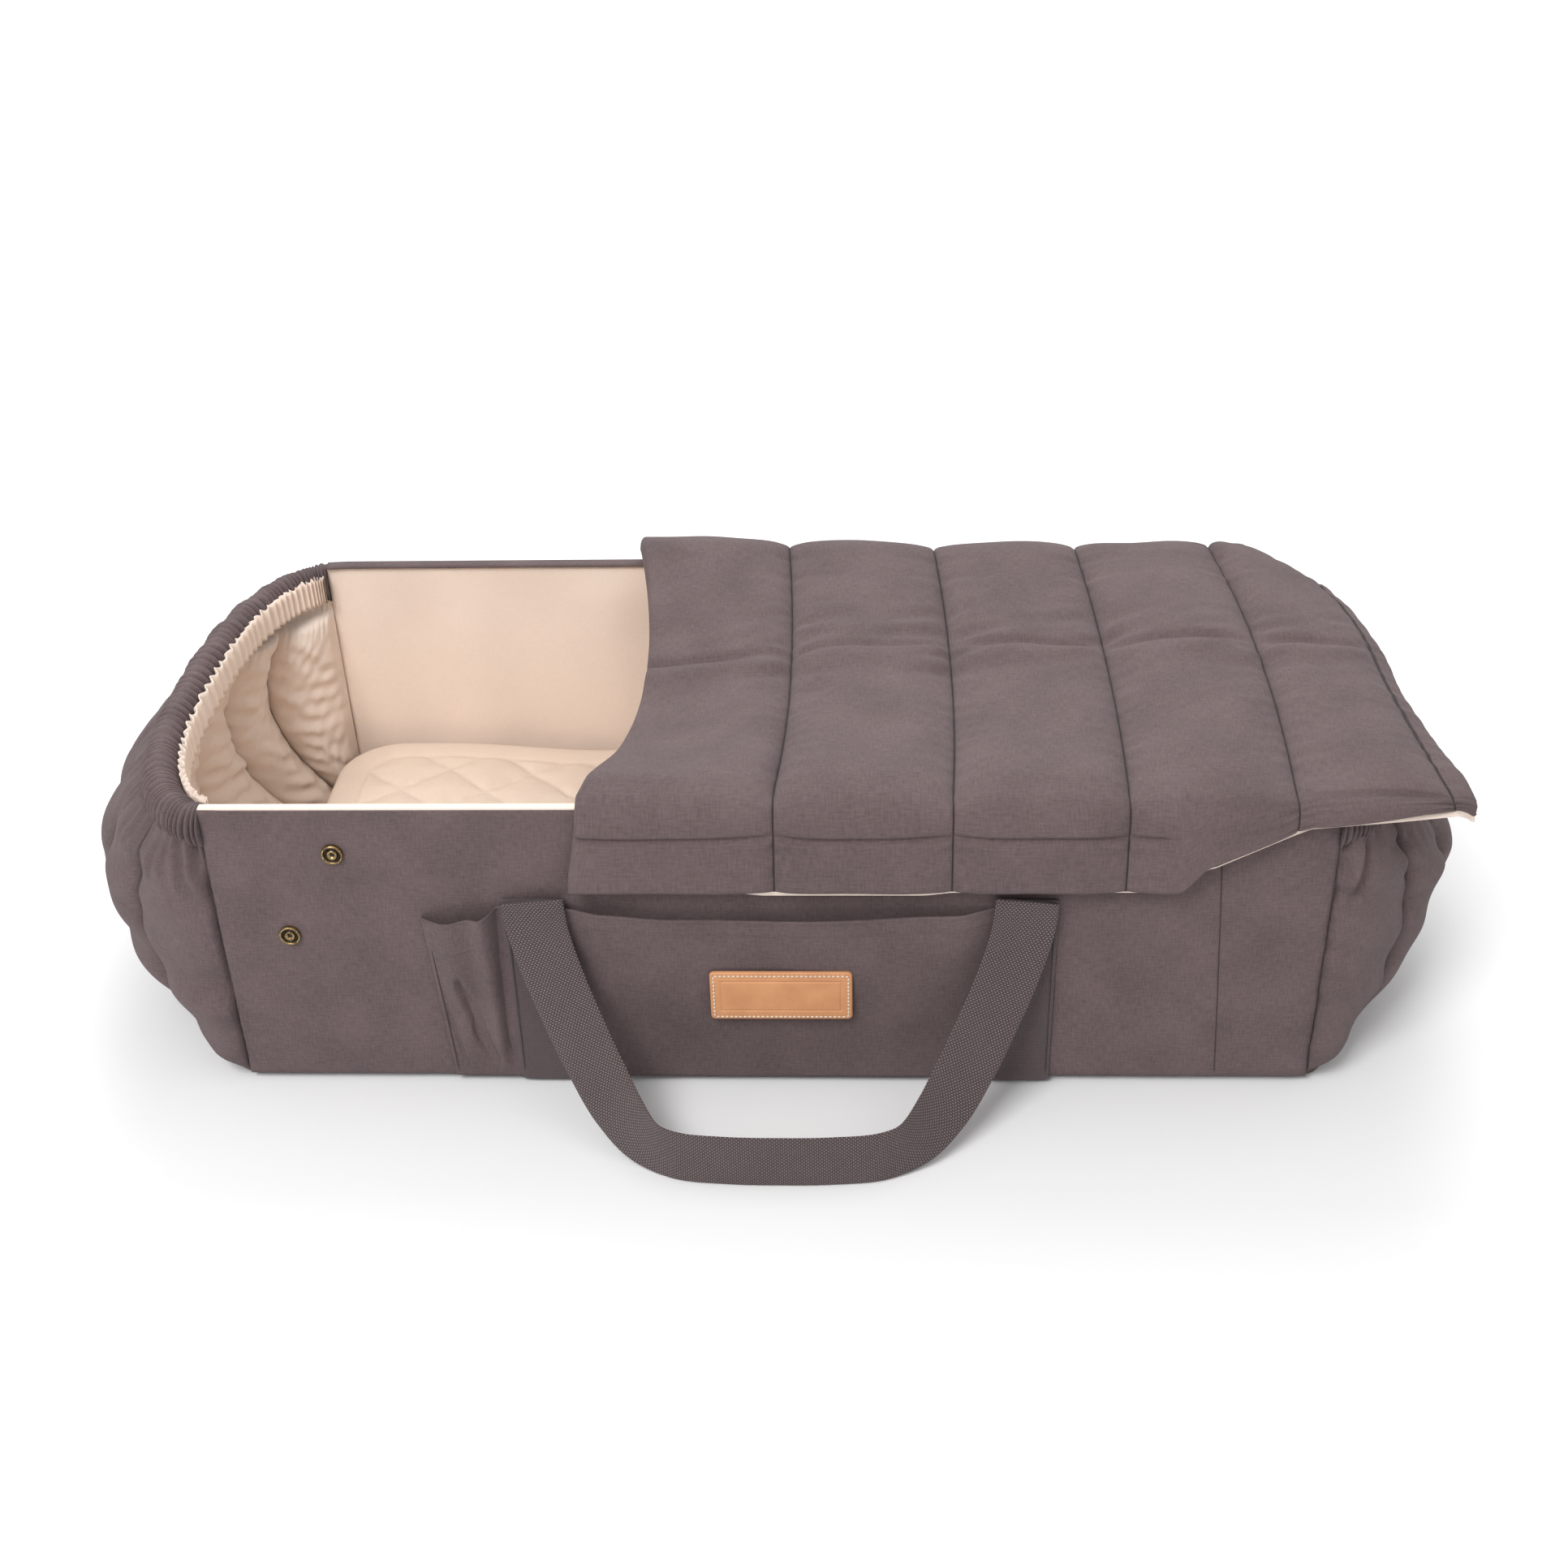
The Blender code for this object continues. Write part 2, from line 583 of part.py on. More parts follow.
def build_cover(mats, folder):
    """The lining runs under all channels and is parted at the fold, like the channels."""
    channels = len(COVER_SEAMS) - 1
    for name, first, last in (("head", 0, COVER_FOLD), ("foot", COVER_FOLD, channels)):
        cover_sheet(f"cover_lining_{name}", first, last, 0.0, lambda x, v: COVER_LINING,
                    mats["lining"], folder)
    for n in range(channels):
        cover_sheet(f"cover_channel_{n + 1}", n, n + 1, COVER_LINING + GAP, cover_crown,
                    mats["twill"], folder)


def side_flap(name, x_low, x_high, inner, foot_z, top_z, mats, folder):
    """A padded flap hanging at y = inner, outside a side wall."""
    side = math.copysign(1.0, inner)

    def place(u, v, w):
        x = mix(x_low, x_high, u)
        puff = FLAP_THICK * mix(0.7, 1.0, math.sin(math.pi * v))
        return x, inner + side * w * puff, mix(foot_z(x), top_z, v)

    mapped_slab(name, 8, 4, place, mats["twill"], folder)


def build_flaps(mats, folder):
    def front_foot(x):
        return mix(FLAP_FOOT_Z, 0.178, smooth((x - 0.185) / 0.050))

    def rear_foot(x):
        return FLAP_FOOT_Z

    fold_x = COVER_SEAMS[COVER_FOLD]
    spans = (("head", COVER_SEAMS[0] - 0.002, fold_x - 0.0006), ("foot", fold_x + 0.0006, FLAP_END_X))
    front_y, rear_y = COVER_BEND_Y - COVER_BEND - 0.0002, lean(HALF_WIDTH, FLAP_FOOT_Z) + GAP
    for name, low, high in spans:
        side_flap(f"cover_front_flap_{name}", low, high, front_y, front_foot, 0.1852, mats, folder)
        side_flap(f"cover_rear_flap_{name}", low, high, rear_y, rear_foot, 0.196, mats, folder)

    def foot(u, v, w):
        y = mix(-0.170, 0.130, u)
        thick = FLAP_THICK * mix(0.7, 1.0, math.sin(math.pi * v))
        fall = 0.030 * (1 - 0.8 * smooth((-y - 0.070) / 0.090))
        x = cover_edge(COVER_SEAMS[-1], y) + 0.0012 + 0.020 * v
        return x + 0.8 * w * thick, y, 0.2060 - fall * v + 0.5 * w * thick

    mapped_slab("cover_foot_flap", 10, 3, foot, mats["twill"], folder)


def main():
    clear_scene()
    folder = new_collection("carry_cot")
    cutters = new_collection("cutters")
    mats = {
        "twill": new_material("grey_twill", (0.150, 0.120, 0.118), 0.9),
        "lining": new_material("cream_cotton", (0.80, 0.66, 0.53), 0.9),
        "wadding": new_material("polyester_wadding", (0.85, 0.85, 0.83), 1.0),
        "foam": new_material("foam", (0.80, 0.78, 0.70), 0.95),
        "board": new_material("fibreboard", (0.35, 0.22, 0.12), 0.8),
        "elastic": new_material("elastic", (0.75, 0.75, 0.75), 0.8),
        "webbing": new_material("cotton_webbing", (0.140, 0.112, 0.112), 0.95),
        "leather": new_material("tan_leather", (0.55, 0.28, 0.11), 0.6),
        "brass": new_material("antique_brass", (0.35, 0.25, 0.12), 0.35, 1.0),
    }
    build_floor(mats, folder)
    walls = {"front": build_wall("front", -1, mats, folder), "rear": build_wall("rear", 1, mats, folder)}
    bpy.context.view_layer.update()
    build_studs("front", -1, walls["front"], mats, folder, cutters)
    build_studs("rear", 1, walls["rear"], mats, folder, cutters)
    build_end("head", -1, mats, folder)
    build_end("foot", 1, mats, folder)
    build_carry_straps(mats, folder)
    build_handle("handle_front", -1, mats, folder)
    build_handle("handle_rear", 1, mats, folder)
    build_pockets(mats, folder)
    build_cover(mats, folder)
    build_flaps(mats, folder)


main()
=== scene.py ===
# %% [markdown]
# # A soft baby carry cot
#
# This lesson dresses the working model of a fabric carry cot. The model gives every piece its size,
# place and joint. Here each cloth, pad and strap is computed as a surface and given a finish.

# %% Load the working model
import json
import math

import bpy
import numpy as np
from mathutils import Matrix, Vector

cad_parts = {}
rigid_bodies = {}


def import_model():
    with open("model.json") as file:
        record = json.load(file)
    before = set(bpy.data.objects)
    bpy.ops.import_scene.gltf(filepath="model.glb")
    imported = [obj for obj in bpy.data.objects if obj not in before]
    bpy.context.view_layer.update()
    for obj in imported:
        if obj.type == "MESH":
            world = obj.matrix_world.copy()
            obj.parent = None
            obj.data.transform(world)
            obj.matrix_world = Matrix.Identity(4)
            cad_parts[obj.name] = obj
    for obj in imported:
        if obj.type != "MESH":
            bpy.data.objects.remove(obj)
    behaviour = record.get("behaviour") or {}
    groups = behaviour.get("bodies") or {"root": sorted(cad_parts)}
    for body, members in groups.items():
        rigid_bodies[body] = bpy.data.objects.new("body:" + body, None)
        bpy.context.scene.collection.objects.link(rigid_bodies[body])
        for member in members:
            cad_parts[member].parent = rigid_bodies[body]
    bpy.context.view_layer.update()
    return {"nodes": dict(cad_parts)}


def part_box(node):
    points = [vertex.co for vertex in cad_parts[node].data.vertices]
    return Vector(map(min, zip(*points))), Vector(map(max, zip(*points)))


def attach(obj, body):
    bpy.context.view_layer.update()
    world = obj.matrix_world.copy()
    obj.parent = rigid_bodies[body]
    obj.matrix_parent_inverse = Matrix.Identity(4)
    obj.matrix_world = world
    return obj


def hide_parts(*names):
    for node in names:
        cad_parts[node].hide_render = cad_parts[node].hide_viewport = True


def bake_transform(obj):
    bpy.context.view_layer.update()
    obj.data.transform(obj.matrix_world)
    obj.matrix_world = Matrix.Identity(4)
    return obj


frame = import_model()

# %% [markdown]
# ## Driving sizes
#
# The sizes are read from the model's own nodes. The side walls are straight and lean out a little
# towards the floor. The head end is at -X and the foot end at +X. The front, with the pockets, is
# at -Y.

# %% Driving sizes
HALF_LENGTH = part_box("front_wall_foam")[1].x
RIM_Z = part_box("front_wall_lining")[1].z
HALF_WIDTH = -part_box("front_wall_lining")[0].y
WALL_FOOT_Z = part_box("front_wall_outer")[0].z
FOOT_HALF = -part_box("front_wall_outer")[0].y
LEAN = (FOOT_HALF / HALF_WIDTH - 1) / (1 - WALL_FOOT_Z / RIM_Z)
WALL_THICK = 0.0105
head_strap, foot_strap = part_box("carry_strap_head"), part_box("carry_strap_foot")
WEB_WIDTH = head_strap[1].x - head_strap[0].x
STRAP_MID = (head_strap[0].x + foot_strap[1].x) / 2
STRAP_X = foot_strap[1].x - WEB_WIDTH / 2 - STRAP_MID
STRAP_TOP = foot_strap[1].z
CLOTH = 0.0012
print("walls reach", round(HALF_LENGTH, 4), round(HALF_WIDTH, 4))
print("rim at", round(RIM_Z, 4), "lean", round(LEAN, 4))


def lean(y, z):
    """A side wall stands out by a share LEAN more at the floor than at the rim."""
    return y * (1 + LEAN * (1 - z / RIM_Z))


def mix(a, b, t):
    """A blend: a where t is 0 and b where t is 1."""
    return a + (b - a) * t


def smooth(t):
    """0 below 0, 1 above 1, and an S curve between."""
    t = np.clip(t, 0.0, 1.0)
    return t * t * (3 - 2 * t)


def hump(x, middle, width):
    """A bell of height 1 at middle that has faded away about twice width from it."""
    return np.exp(-((x - middle) / width) ** 2)


# %% [markdown]
# ## Creases from waves
#
# Cloth never lies quite flat. A crease field here is a sum of a few sine waves whose directions
# and lengths differ a little. It is computed on a whole grid at once and is the same each run.

# %% Crease field
WAVE_TERMS = 6
SHORTEST, LONGEST = 0.65, 1.5
FULL_TURN = 6.28


def waves(a, b, seed, length, angle=0.0, spread=0.5):
    """Sum of sine waves over coordinates a and b in metres, scaled to about -1..1.

    Each wave runs near `angle` radians from the a direction and is near `length` metres long."""
    draw = np.random.default_rng(seed)
    total = np.zeros(np.broadcast(a, b).shape)
    for _ in range(WAVE_TERMS):
        turn = angle + draw.normal(0, spread)
        k = 2 * math.pi / (length * draw.uniform(SHORTEST, LONGEST))
        along = a * math.cos(turn) + b * math.sin(turn)
        total = total + np.sin(k * along + draw.uniform(0, FULL_TURN))
    return total / math.sqrt(WAVE_TERMS) / 1.2


def ridges(a, b, seed, length, angle):
    """Sharp-topped creases from 0 to 1: one minus the size of a wave field."""
    return 1 - np.clip(np.abs(waves(a, b, seed, length, angle, 0.4)), 0, 1)


# %% [markdown]
# ## From grids to meshes
#
# Every new piece is a grid of points. `slab` closes a grid and its back into one solid, and `loop`
# closes a grid that runs round a tube. The UV map holds lengths in metres along the cloth, so that
# the weave has its true size on every piece.

# %% Mesh helpers
def arc_uv(P):
    """Lengths in metres along both directions of a grid of points, averaged over the grid."""
    du = np.linalg.norm(np.diff(P, axis=0), axis=2).mean(1)
    dv = np.linalg.norm(np.diff(P, axis=1), axis=2).mean(0)
    u, v = np.concatenate([[0], np.cumsum(du)]), np.concatenate([[0], np.cumsum(dv)])
    U, V = np.meshgrid(u - u.mean(), v - v.mean(), indexing="ij")
    return np.stack([U, V], -1)


def make_mesh(name, points, faces, uvs, materials):
    """A smooth mesh with its faces outwards: they are turned round if its volume is negative."""
    p = points[faces]
    volume = np.einsum("ij,ij->i", p[:, 0], np.cross(p[:, 1], p[:, 2])).sum()
    volume += np.einsum("ij,ij->i", p[:, 0], np.cross(p[:, 2], p[:, 3])).sum()
    if volume < 0:
        faces = faces[:, ::-1]
    mesh = bpy.data.meshes.new(name)
    mesh.from_pydata(points.tolist(), [], faces.tolist())
    layer = mesh.uv_layers.new(name="UVMap")
    layer.data.foreach_set("uv", uvs[faces.ravel()].astype(np.float32).ravel())
    for material in materials:
        mesh.materials.append(material)
    mesh.shade_smooth()
    obj = bpy.data.objects.new(name, mesh)
    bpy.context.scene.collection.objects.link(obj)
    return obj


def grid_faces(nu, nv, start=0, wrap=False):
    """Quads of a grid whose point (i, j) is number start + i * nv + j."""
    i, j = np.meshgrid(np.arange(nu - 1), np.arange(nv if wrap else nv - 1), indexing="ij")
    k = (j + 1) % nv
    quads = np.stack([i * nv + j, i * nv + k, (i + 1) * nv + k, (i + 1) * nv + j], -1)
    return quads.reshape(-1, 4) + start


def slab(name, top, bottom, materials):
    """Two grids of the same size, joined all round their edge into one closed solid."""
    nu, nv = top.shape[:2]
    n = nu * nv
    ring = np.concatenate([np.arange(nv), np.arange(1, nu) * nv + nv - 1,
                           (nu - 1) * nv + np.arange(nv - 2, -1, -1), np.arange(nu - 2, 0, -1) * nv])
    following = np.roll(ring, -1)
    rim = np.stack([ring, following, following + n, ring + n], -1)
    front, back = grid_faces(nu, nv), grid_faces(nu, nv, n)[:, ::-1]
    faces = consistent(np.concatenate([front, back, rim]), len(front), len(back))
    points = np.concatenate([top.reshape(-1, 3), bottom.reshape(-1, 3)])
    uvs = np.concatenate([arc_uv(top).reshape(-1, 2)] * 2)
    return make_mesh(name, points, faces, uvs, materials)


def consistent(faces, n_front, n_back):
    """The rim quads run against the front's edges, so that neighbours agree on their winding."""
    front = faces[:n_front]
    edges = set(zip(front.ravel().tolist(), np.roll(front, -1, axis=1).ravel().tolist()))
    rim = faces[n_front + n_back:]
    if (int(rim[0, 0]), int(rim[0, 1])) in edges:
        faces = faces.copy()
        faces[n_front + n_back:] = rim[:, ::-1]
    return faces


def loop(name, P, materials):
    """A grid closed round its second direction, with a flat cap of quads folded at each end."""
    nu, nv = P.shape[:2]
    ends = np.stack([P[0].mean(0), P[-1].mean(0)])
    points = np.concatenate([P.reshape(-1, 3), ends])
    around = np.arange(0, nv - 1, 2)
    after = (around + 2) % nv
    middle = (around + 1) % nv
    first = np.stack([np.full(len(around), nu * nv), after, middle, around], -1)
    last = np.stack([np.full(len(around), nu * nv + 1), around + (nu - 1) * nv,
                     middle + (nu - 1) * nv, after + (nu - 1) * nv], -1)
    faces = np.concatenate([grid_faces(nu, nv, wrap=True), first, last])
    uvs = np.concatenate([arc_uv(P).reshape(-1, 2), np.zeros((2, 2))])
    return make_mesh(name, points, faces, uvs, materials)


def normals(P):
    """Unit normals of a grid of points, from its two directions."""
    n = np.cross(np.gradient(P, axis=0), np.gradient(P, axis=1))
    return n / np.maximum(np.linalg.norm(n, axis=2, keepdims=True), 1e-9)


def piece(obj, body, slot, *replaced):
    """A finished piece rides on its body and stands for the nodes it replaces. Its slot is not used."""
    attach(obj, body)
    if replaced:
        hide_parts(*replaced)
    print(f"{obj.name}: {len(obj.data.polygons)} faces")
    return obj


# %% [markdown]
# ## Finishes
#
# The outer cloth and the lining are plain weaves, the straps a coarser basket weave. A plain weave
# is two sets of round threads that pass over and under each other. The group below works that out
# from the UV map: a wave across each thread gives its round back, and a checker of crossings says
# which thread lies on top.

# %% Shader node helpers
def group(name, inputs, outputs):
    """A node group with named sockets: inputs are (name, default), outputs are (name, kind)."""
    made = bpy.data.node_groups.new(name, "ShaderNodeTree")
    for label, default in inputs:
        kind = "NodeSocketVector" if default is None else "NodeSocketFloat"
        kind = "NodeSocketColor" if isinstance(default, tuple) else kind
        socket = made.interface.new_socket(label, in_out="INPUT", socket_type=kind)
        if default is not None:
            socket.default_value = default
    for label, kind in outputs:
        made.interface.new_socket(label, in_out="OUTPUT", socket_type=kind)
    return made, made.nodes.new("NodeGroupInput"), made.nodes.new("NodeGroupOutput")


def add(tree, kind, links=(), **settings):
    """A node with its settings and its input links. A link is (input, socket or value)."""
    node = tree.nodes.new(kind)
    for key, value in settings.items():
        setattr(node, key, value)
    for key, value in links:
        if isinstance(value, bpy.types.NodeSocket):
            tree.links.new(value, node.inputs[key])
        else:
            node.inputs[key].default_value = value
    return node


def math_node(tree, operation, a, b=0.0, c=0.0):
    """The output of a Math node on up to three values or sockets."""
    return add(tree, "ShaderNodeMath", [(0, a), (1, b), (2, c)], operation=operation).outputs[0]


def new_finish(name, **settings):
    """A material, its node tree and its shader. Settings name the shader's inputs, _ for a space."""
    material = bpy.data.materials.new(name)
    material.use_nodes = True
    shader = material.node_tree.nodes["Principled BSDF"]
    for key, value in settings.items():
        shader.inputs[key.replace("_", " ")].default_value = value
    return material, material.node_tree, shader


def clouded(tree, shader, scale, detail, low, high):
    """Base colour from a noise on object coordinates, between two (place, colour) stops."""
    place = add(tree, "ShaderNodeTexCoord").outputs["Object"]
    cloud = add(tree, "ShaderNodeTexNoise", [("Vector", place), ("Scale", scale), ("Detail", detail)])
    tree.links.new(ramp(tree, cloud.outputs["Fac"], [low, high]), shader.inputs["Base Color"])
    return place, cloud.outputs["Fac"]


def ramp(tree, value, stops):
    """A colour ramp: stops are (place, colour)."""
    node = add(tree, "ShaderNodeValToRGB", [("Fac", value)])
    elements = node.color_ramp.elements
    while len(elements) < len(stops):
        elements.new(0.5)
    for element, (place, colour) in zip(elements, stops):
        element.position = place
        element.color = (*colour, 1.0)
    return node.outputs["Color"]


# %% Weave, as a node group
def weave_group():
    """Height and top-thread mask of a plain weave. Thread is the thread spacing in metres.

    Height is the larger of |sin| across the warp and across the weft, each lowered where the
    checker of crossings puts it below."""
    tree, source, sink = group("woven_threads",
                               [("Vector", None), ("Thread", 0.0005), ("Stretch", 1.0)],
                               [("Height", "NodeSocketFloat"), ("Warp", "NodeSocketFloat")])
    split = add(tree, "ShaderNodeSeparateXYZ", [(0, source.outputs["Vector"])])
    along = math_node(tree, "DIVIDE", split.outputs[0], source.outputs["Thread"])
    wide = math_node(tree, "MULTIPLY", source.outputs["Thread"], source.outputs["Stretch"])
    across = math_node(tree, "DIVIDE", split.outputs[1], wide)
    backs = [math_node(tree, "ABSOLUTE", math_node(tree, "SINE", math_node(tree, "MULTIPLY", t, math.pi)))
             for t in (along, across)]
    cells = math_node(tree, "ADD", math_node(tree, "FLOOR", along), math_node(tree, "FLOOR", across))
    over = math_node(tree, "PINGPONG", cells, 1.0)
    warp = math_node(tree, "MULTIPLY", backs[0], math_node(tree, "MULTIPLY_ADD", over, 0.45, 0.55))
    under = math_node(tree, "SUBTRACT", 1.0, over)
    weft = math_node(tree, "MULTIPLY", backs[1], math_node(tree, "MULTIPLY_ADD", under, 0.45, 0.55))
    tree.links.new(math_node(tree, "MAXIMUM", warp, weft), sink.inputs["Height"])
    tree.links.new(over, sink.inputs["Warp"])
    return tree


def tone_group():
    """Uneven dye and slubs: a slow cloud, and thin streaks along both thread directions."""
    tree, source, sink = group("cloth_tone", [("Vector", None), ("Strength", 0.1)],
                               [("Tone", "NodeSocketFloat")])
    place = source.outputs["Vector"]
    cloud = add(tree, "ShaderNodeTexNoise", [("Vector", place), ("Scale", 22.0), ("Detail", 3.0)])
    total = math_node(tree, "SUBTRACT", cloud.outputs["Fac"], 0.5)
    for scale in ((160.0, 900.0, 1.0), (900.0, 160.0, 1.0)):
        stretched = add(tree, "ShaderNodeVectorMath", [(0, place), (1, scale)], operation="MULTIPLY")
        streak = add(tree, "ShaderNodeTexNoise",
                     [("Vector", stretched.outputs[0]), ("Scale", 1.0), ("Detail", 2.0)])
        even = math_node(tree, "SUBTRACT", streak.outputs["Fac"], 0.5)
        total = math_node(tree, "MULTIPLY_ADD", even, 0.9, total)
    tone = math_node(tree, "MULTIPLY_ADD", total, source.outputs["Strength"], 1.0)
    tree.links.new(tone, sink.inputs["Tone"])
    return tree


WEAVE, TONE = weave_group(), tone_group()


def cloth(name, colour, thread, tone=0.25, dark=0.72, sheen=0.12, stretch=1.0, bump=0.0003, checker=0.0):
    """A woven finish whose threads follow the UV map.

    colour is the top of the threads, and dark their share of it in the gaps, as painted shade between the
    threads. checker is how much darker the crossings with the weft on top are."""
    material, tree, shader = new_finish(name, Roughness=0.92, Sheen_Weight=sheen, Sheen_Roughness=0.5,
                                        Specular_IOR_Level=0.25)
    uv = add(tree, "ShaderNodeUVMap", uv_map="UVMap").outputs[0]
    weave = add(tree, "ShaderNodeGroup", node_tree=WEAVE)
    shade = add(tree, "ShaderNodeGroup", node_tree=TONE)
    tree.links.new(uv, weave.inputs["Vector"])
    tree.links.new(uv, shade.inputs["Vector"])
    for node, key, value in ((weave, "Thread", thread), (weave, "Stretch", stretch),
                             (shade, "Strength", tone)):
        node.inputs[key].default_value = value
    # Painted shade: the gaps between the threads are darkened to dark times the colour.
    depth = ramp(tree, weave.outputs["Height"], [(0.35, tuple(dark * c for c in colour)), (0.95, colour)])
    crossing = math_node(tree, "MULTIPLY_ADD", weave.outputs["Warp"], checker, 1.0 - checker)
    both = math_node(tree, "MULTIPLY", crossing, shade.outputs["Tone"])
    toned = add(tree, "ShaderNodeVectorMath", [(0, depth), (1, both)], operation="MULTIPLY")
    tree.links.new(toned.outputs[0], shader.inputs["Base Color"])
    raised = add(tree, "ShaderNodeBump", [("Height", weave.outputs["Height"]), ("Distance", bump),
                                          ("Strength", 0.6)])
    tree.links.new(raised.outputs[0], shader.inputs["Normal"])
    return material


# %% [markdown]
# Leather, brass and board are made the same way as the cloth: a base colour, a pattern of its own
# on object coordinates, and a gloss. The sheet's cotton is a little darker than the lining's.

# %% Materials
def leather_finish():
    """Smooth tan leather: a slow cloud of tone, fine pores as a bump, and a soft satin coat."""
    material, tree, shader = new_finish("tan_leather", Roughness=0.55, Specular_IOR_Level=0.4)
    stops = (0.3, (0.55, 0.25, 0.115)), (0.7, (0.64, 0.31, 0.145))
    place = clouded(tree, shader, 70.0, 5.0, *stops)[0]
    pores = add(tree, "ShaderNodeTexVoronoi", [("Vector", place), ("Scale", 1400.0)])
    raised = add(tree, "ShaderNodeBump", [("Height", pores.outputs["Distance"]), ("Distance", 0.0002),
                                          ("Strength", 0.35)])
    tree.links.new(raised.outputs[0], shader.inputs["Normal"])
    return material


def brass_finish():
    """Antique brass: darkened where a noise says the finish has not been rubbed bright."""
    material, tree, shader = new_finish("antique_brass", Metallic=1.0)
    stops = (0.35, (0.16, 0.10, 0.045)), (0.65, (0.46, 0.33, 0.16))
    rubbed = clouded(tree, shader, 500.0, 4.0, *stops)[1]
    rough = add(tree, "ShaderNodeMapRange", [("Value", rubbed), ("To Min", 0.45), ("To Max", 0.25)])
    tree.links.new(rough.outputs[0], shader.inputs["Roughness"])
    return material


def board_finish():
    """Pressed fibre board: short pale and dark fibres from a stretched noise over a slow cloud."""
    material, tree, shader = new_finish("fibre_board", Roughness=0.8)
    place = add(tree, "ShaderNodeTexCoord").outputs["Object"]
    long = add(tree, "ShaderNodeVectorMath", [(0, place), (1, (300.0, 1400.0, 1400.0))],
               operation="MULTIPLY")
    fibre = add(tree, "ShaderNodeTexNoise", [("Vector", long.outputs[0]), ("Scale", 1.0), ("Detail", 4.0)])
    colour = ramp(tree, fibre.outputs["Fac"], [(0.3, (0.24, 0.14, 0.075)), (0.7, (0.42, 0.28, 0.17))])
    tree.links.new(colour, shader.inputs["Base Color"])
    return material


# Each cloth's dark sets the painted shade in the gaps between its threads.
twill = cloth("grey_cotton", (0.146, 0.104, 0.105), 0.00055, tone=0.60, sheen=0.06)
cream = cloth("cream_cotton", (0.95, 0.800, 0.690), 0.00045, tone=0.08, dark=0.96, sheen=0.08)
webbing = cloth("basket_webbing", (0.225, 0.168, 0.170), 0.00130, dark=0.15, stretch=0.90,
                bump=0.0012, checker=0.60)
ribbed = cloth("ribbed_webbing", (0.140, 0.104, 0.105), 0.0009, dark=0.45, bump=0.0006, checker=0.2)
sheet_cotton = cloth("sheet_cotton", (0.86, 0.700, 0.575), 0.00045, tone=0.08, dark=0.96, sheen=0.08)
thread_cream = cloth("cream_thread", (0.95, 0.86, 0.72), 0.0003, tone=0.1)
# The tan colour below paints the shadow in the seams of the cream ends. The dark one is the stitching
# thread, and the seams of the grey pieces also take it as painted seam shadow.
seam_shade_tan = cloth("tan_seam_shade", (0.50, 0.33, 0.22), 0.0003, tone=0.1)
thread_and_seam_shade_dark = cloth("dark_thread_and_seam_shade", (0.055, 0.040, 0.040), 0.0003, tone=0.1)
leather = leather_finish()
brass = brass_finish()
board = board_finish()
print("finishes", len(bpy.data.materials))

# %% [markdown]
# ## Side walls
#
# Each side wall is a foam board between the outer cotton and the cream lining. One section path
# carried along X makes each layer. It starts under the base, turns up round the soft bottom edge,
# leans in a little and ends at the rim. At the front the lining turns over the rim and at the rear
# the outer cloth does, so one rim shows cream and the other grey.

# %% Section path of a wall
WALL_STEPS = 221
BOTTOM_ROUND = 0.006
BOTTOM_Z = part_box("bottom_panel")[0].z
RIM_ROUND = 0.0045


def wall_path(steps, out=0.0, top=None, tuck=0.003, over=0.0):
    """(y, z) points of a wall's outer face, `out` metres proud of it.

    From `tuck` metres in under the base, round a quarter circle, up the leaning face to `top`,
    and then `over` metres round the rim and inwards. The lowest point is BOTTOM_Z - out."""
    top = RIM_Z if top is None else top
    middle_z = BOTTOM_Z + BOTTOM_ROUND
    foot_y = lean(HALF_WIDTH, middle_z)
    turn = np.linspace(-math.pi / 2, 0, 7)
    radius = BOTTOM_ROUND + out
    arc = np.stack([foot_y - BOTTOM_ROUND + radius * np.cos(turn), middle_z + radius * np.sin(turn)], 1)
    start = np.array([[foot_y - BOTTOM_ROUND - tuck, middle_z - radius]])
    z = np.linspace(middle_z, top - (RIM_ROUND if over else 0.0), 12)[1:]
    face = np.stack([lean(HALF_WIDTH, z) + out, z], 1)
    parts = [start, arc, face]
    if over:
        turn = np.linspace(0, math.pi / 2, 6)[1:]
        inner = face[-1, 0] - RIM_ROUND - out
        parts.append(np.stack([inner + (RIM_ROUND + out) * np.cos(turn), top - RIM_ROUND
                               + (RIM_ROUND + out) * np.sin(turn)], 1))
        parts.append(np.array([[inner - over, top + out]]))
    path = np.concatenate(parts)
    length = np.concatenate([[0], np.cumsum(np.linalg.norm(np.diff(path, axis=0), axis=1))])
    at = np.linspace(0, length[-1], steps)
    return np.stack([np.interp(at, length, path[:, 0]), np.interp(at, length, path[:, 1])], 1)


def run_along_x(path, x, side):
    """The grid of a (y, z) path carried to each x, on the side given as -1 or 1."""
    P = np.zeros((len(x), len(path), 3))
    P[..., 0] = x[:, None]
    P[..., 1], P[..., 2] = side * path[:, 0], path[:, 1]
    return P


# %% Outer cotton of the walls
def wall_relief(X, Z, side):
    """How far a wall's face stands out: creases, and pulls at its ends. None at the rim or at the studs."""
    calm = smooth(Z / 0.03) * smooth((RIM_Z - 0.012 - Z) / 0.05)
    for stud in ("upper", "lower"):
        low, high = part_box(f"front_stud_{stud}")
        calm = calm * (1 - hump(np.hypot(X - (low.x + high.x) / 2, Z - (low.z + high.z) / 2), 0, 0.016))
    swell = 0.0013 * waves(X, Z * 0.6, 11 + side, 0.17) * calm
    fine = 0.0004 * waves(X, Z, 21 + side, 0.045, 0.5, 0.8) * calm
    ends = 0.0012 * smooth((np.abs(X) - HALF_LENGTH + 0.016) / 0.016) * smooth(Z / 0.02)
    near_end = smooth((np.abs(X) - HALF_LENGTH + 0.05) / 0.05)
    pulled = 0.0010 * ridges(Z, X, 31 + side, 0.02, 0.2) * near_end * calm
    return swell + fine + pulled - ends


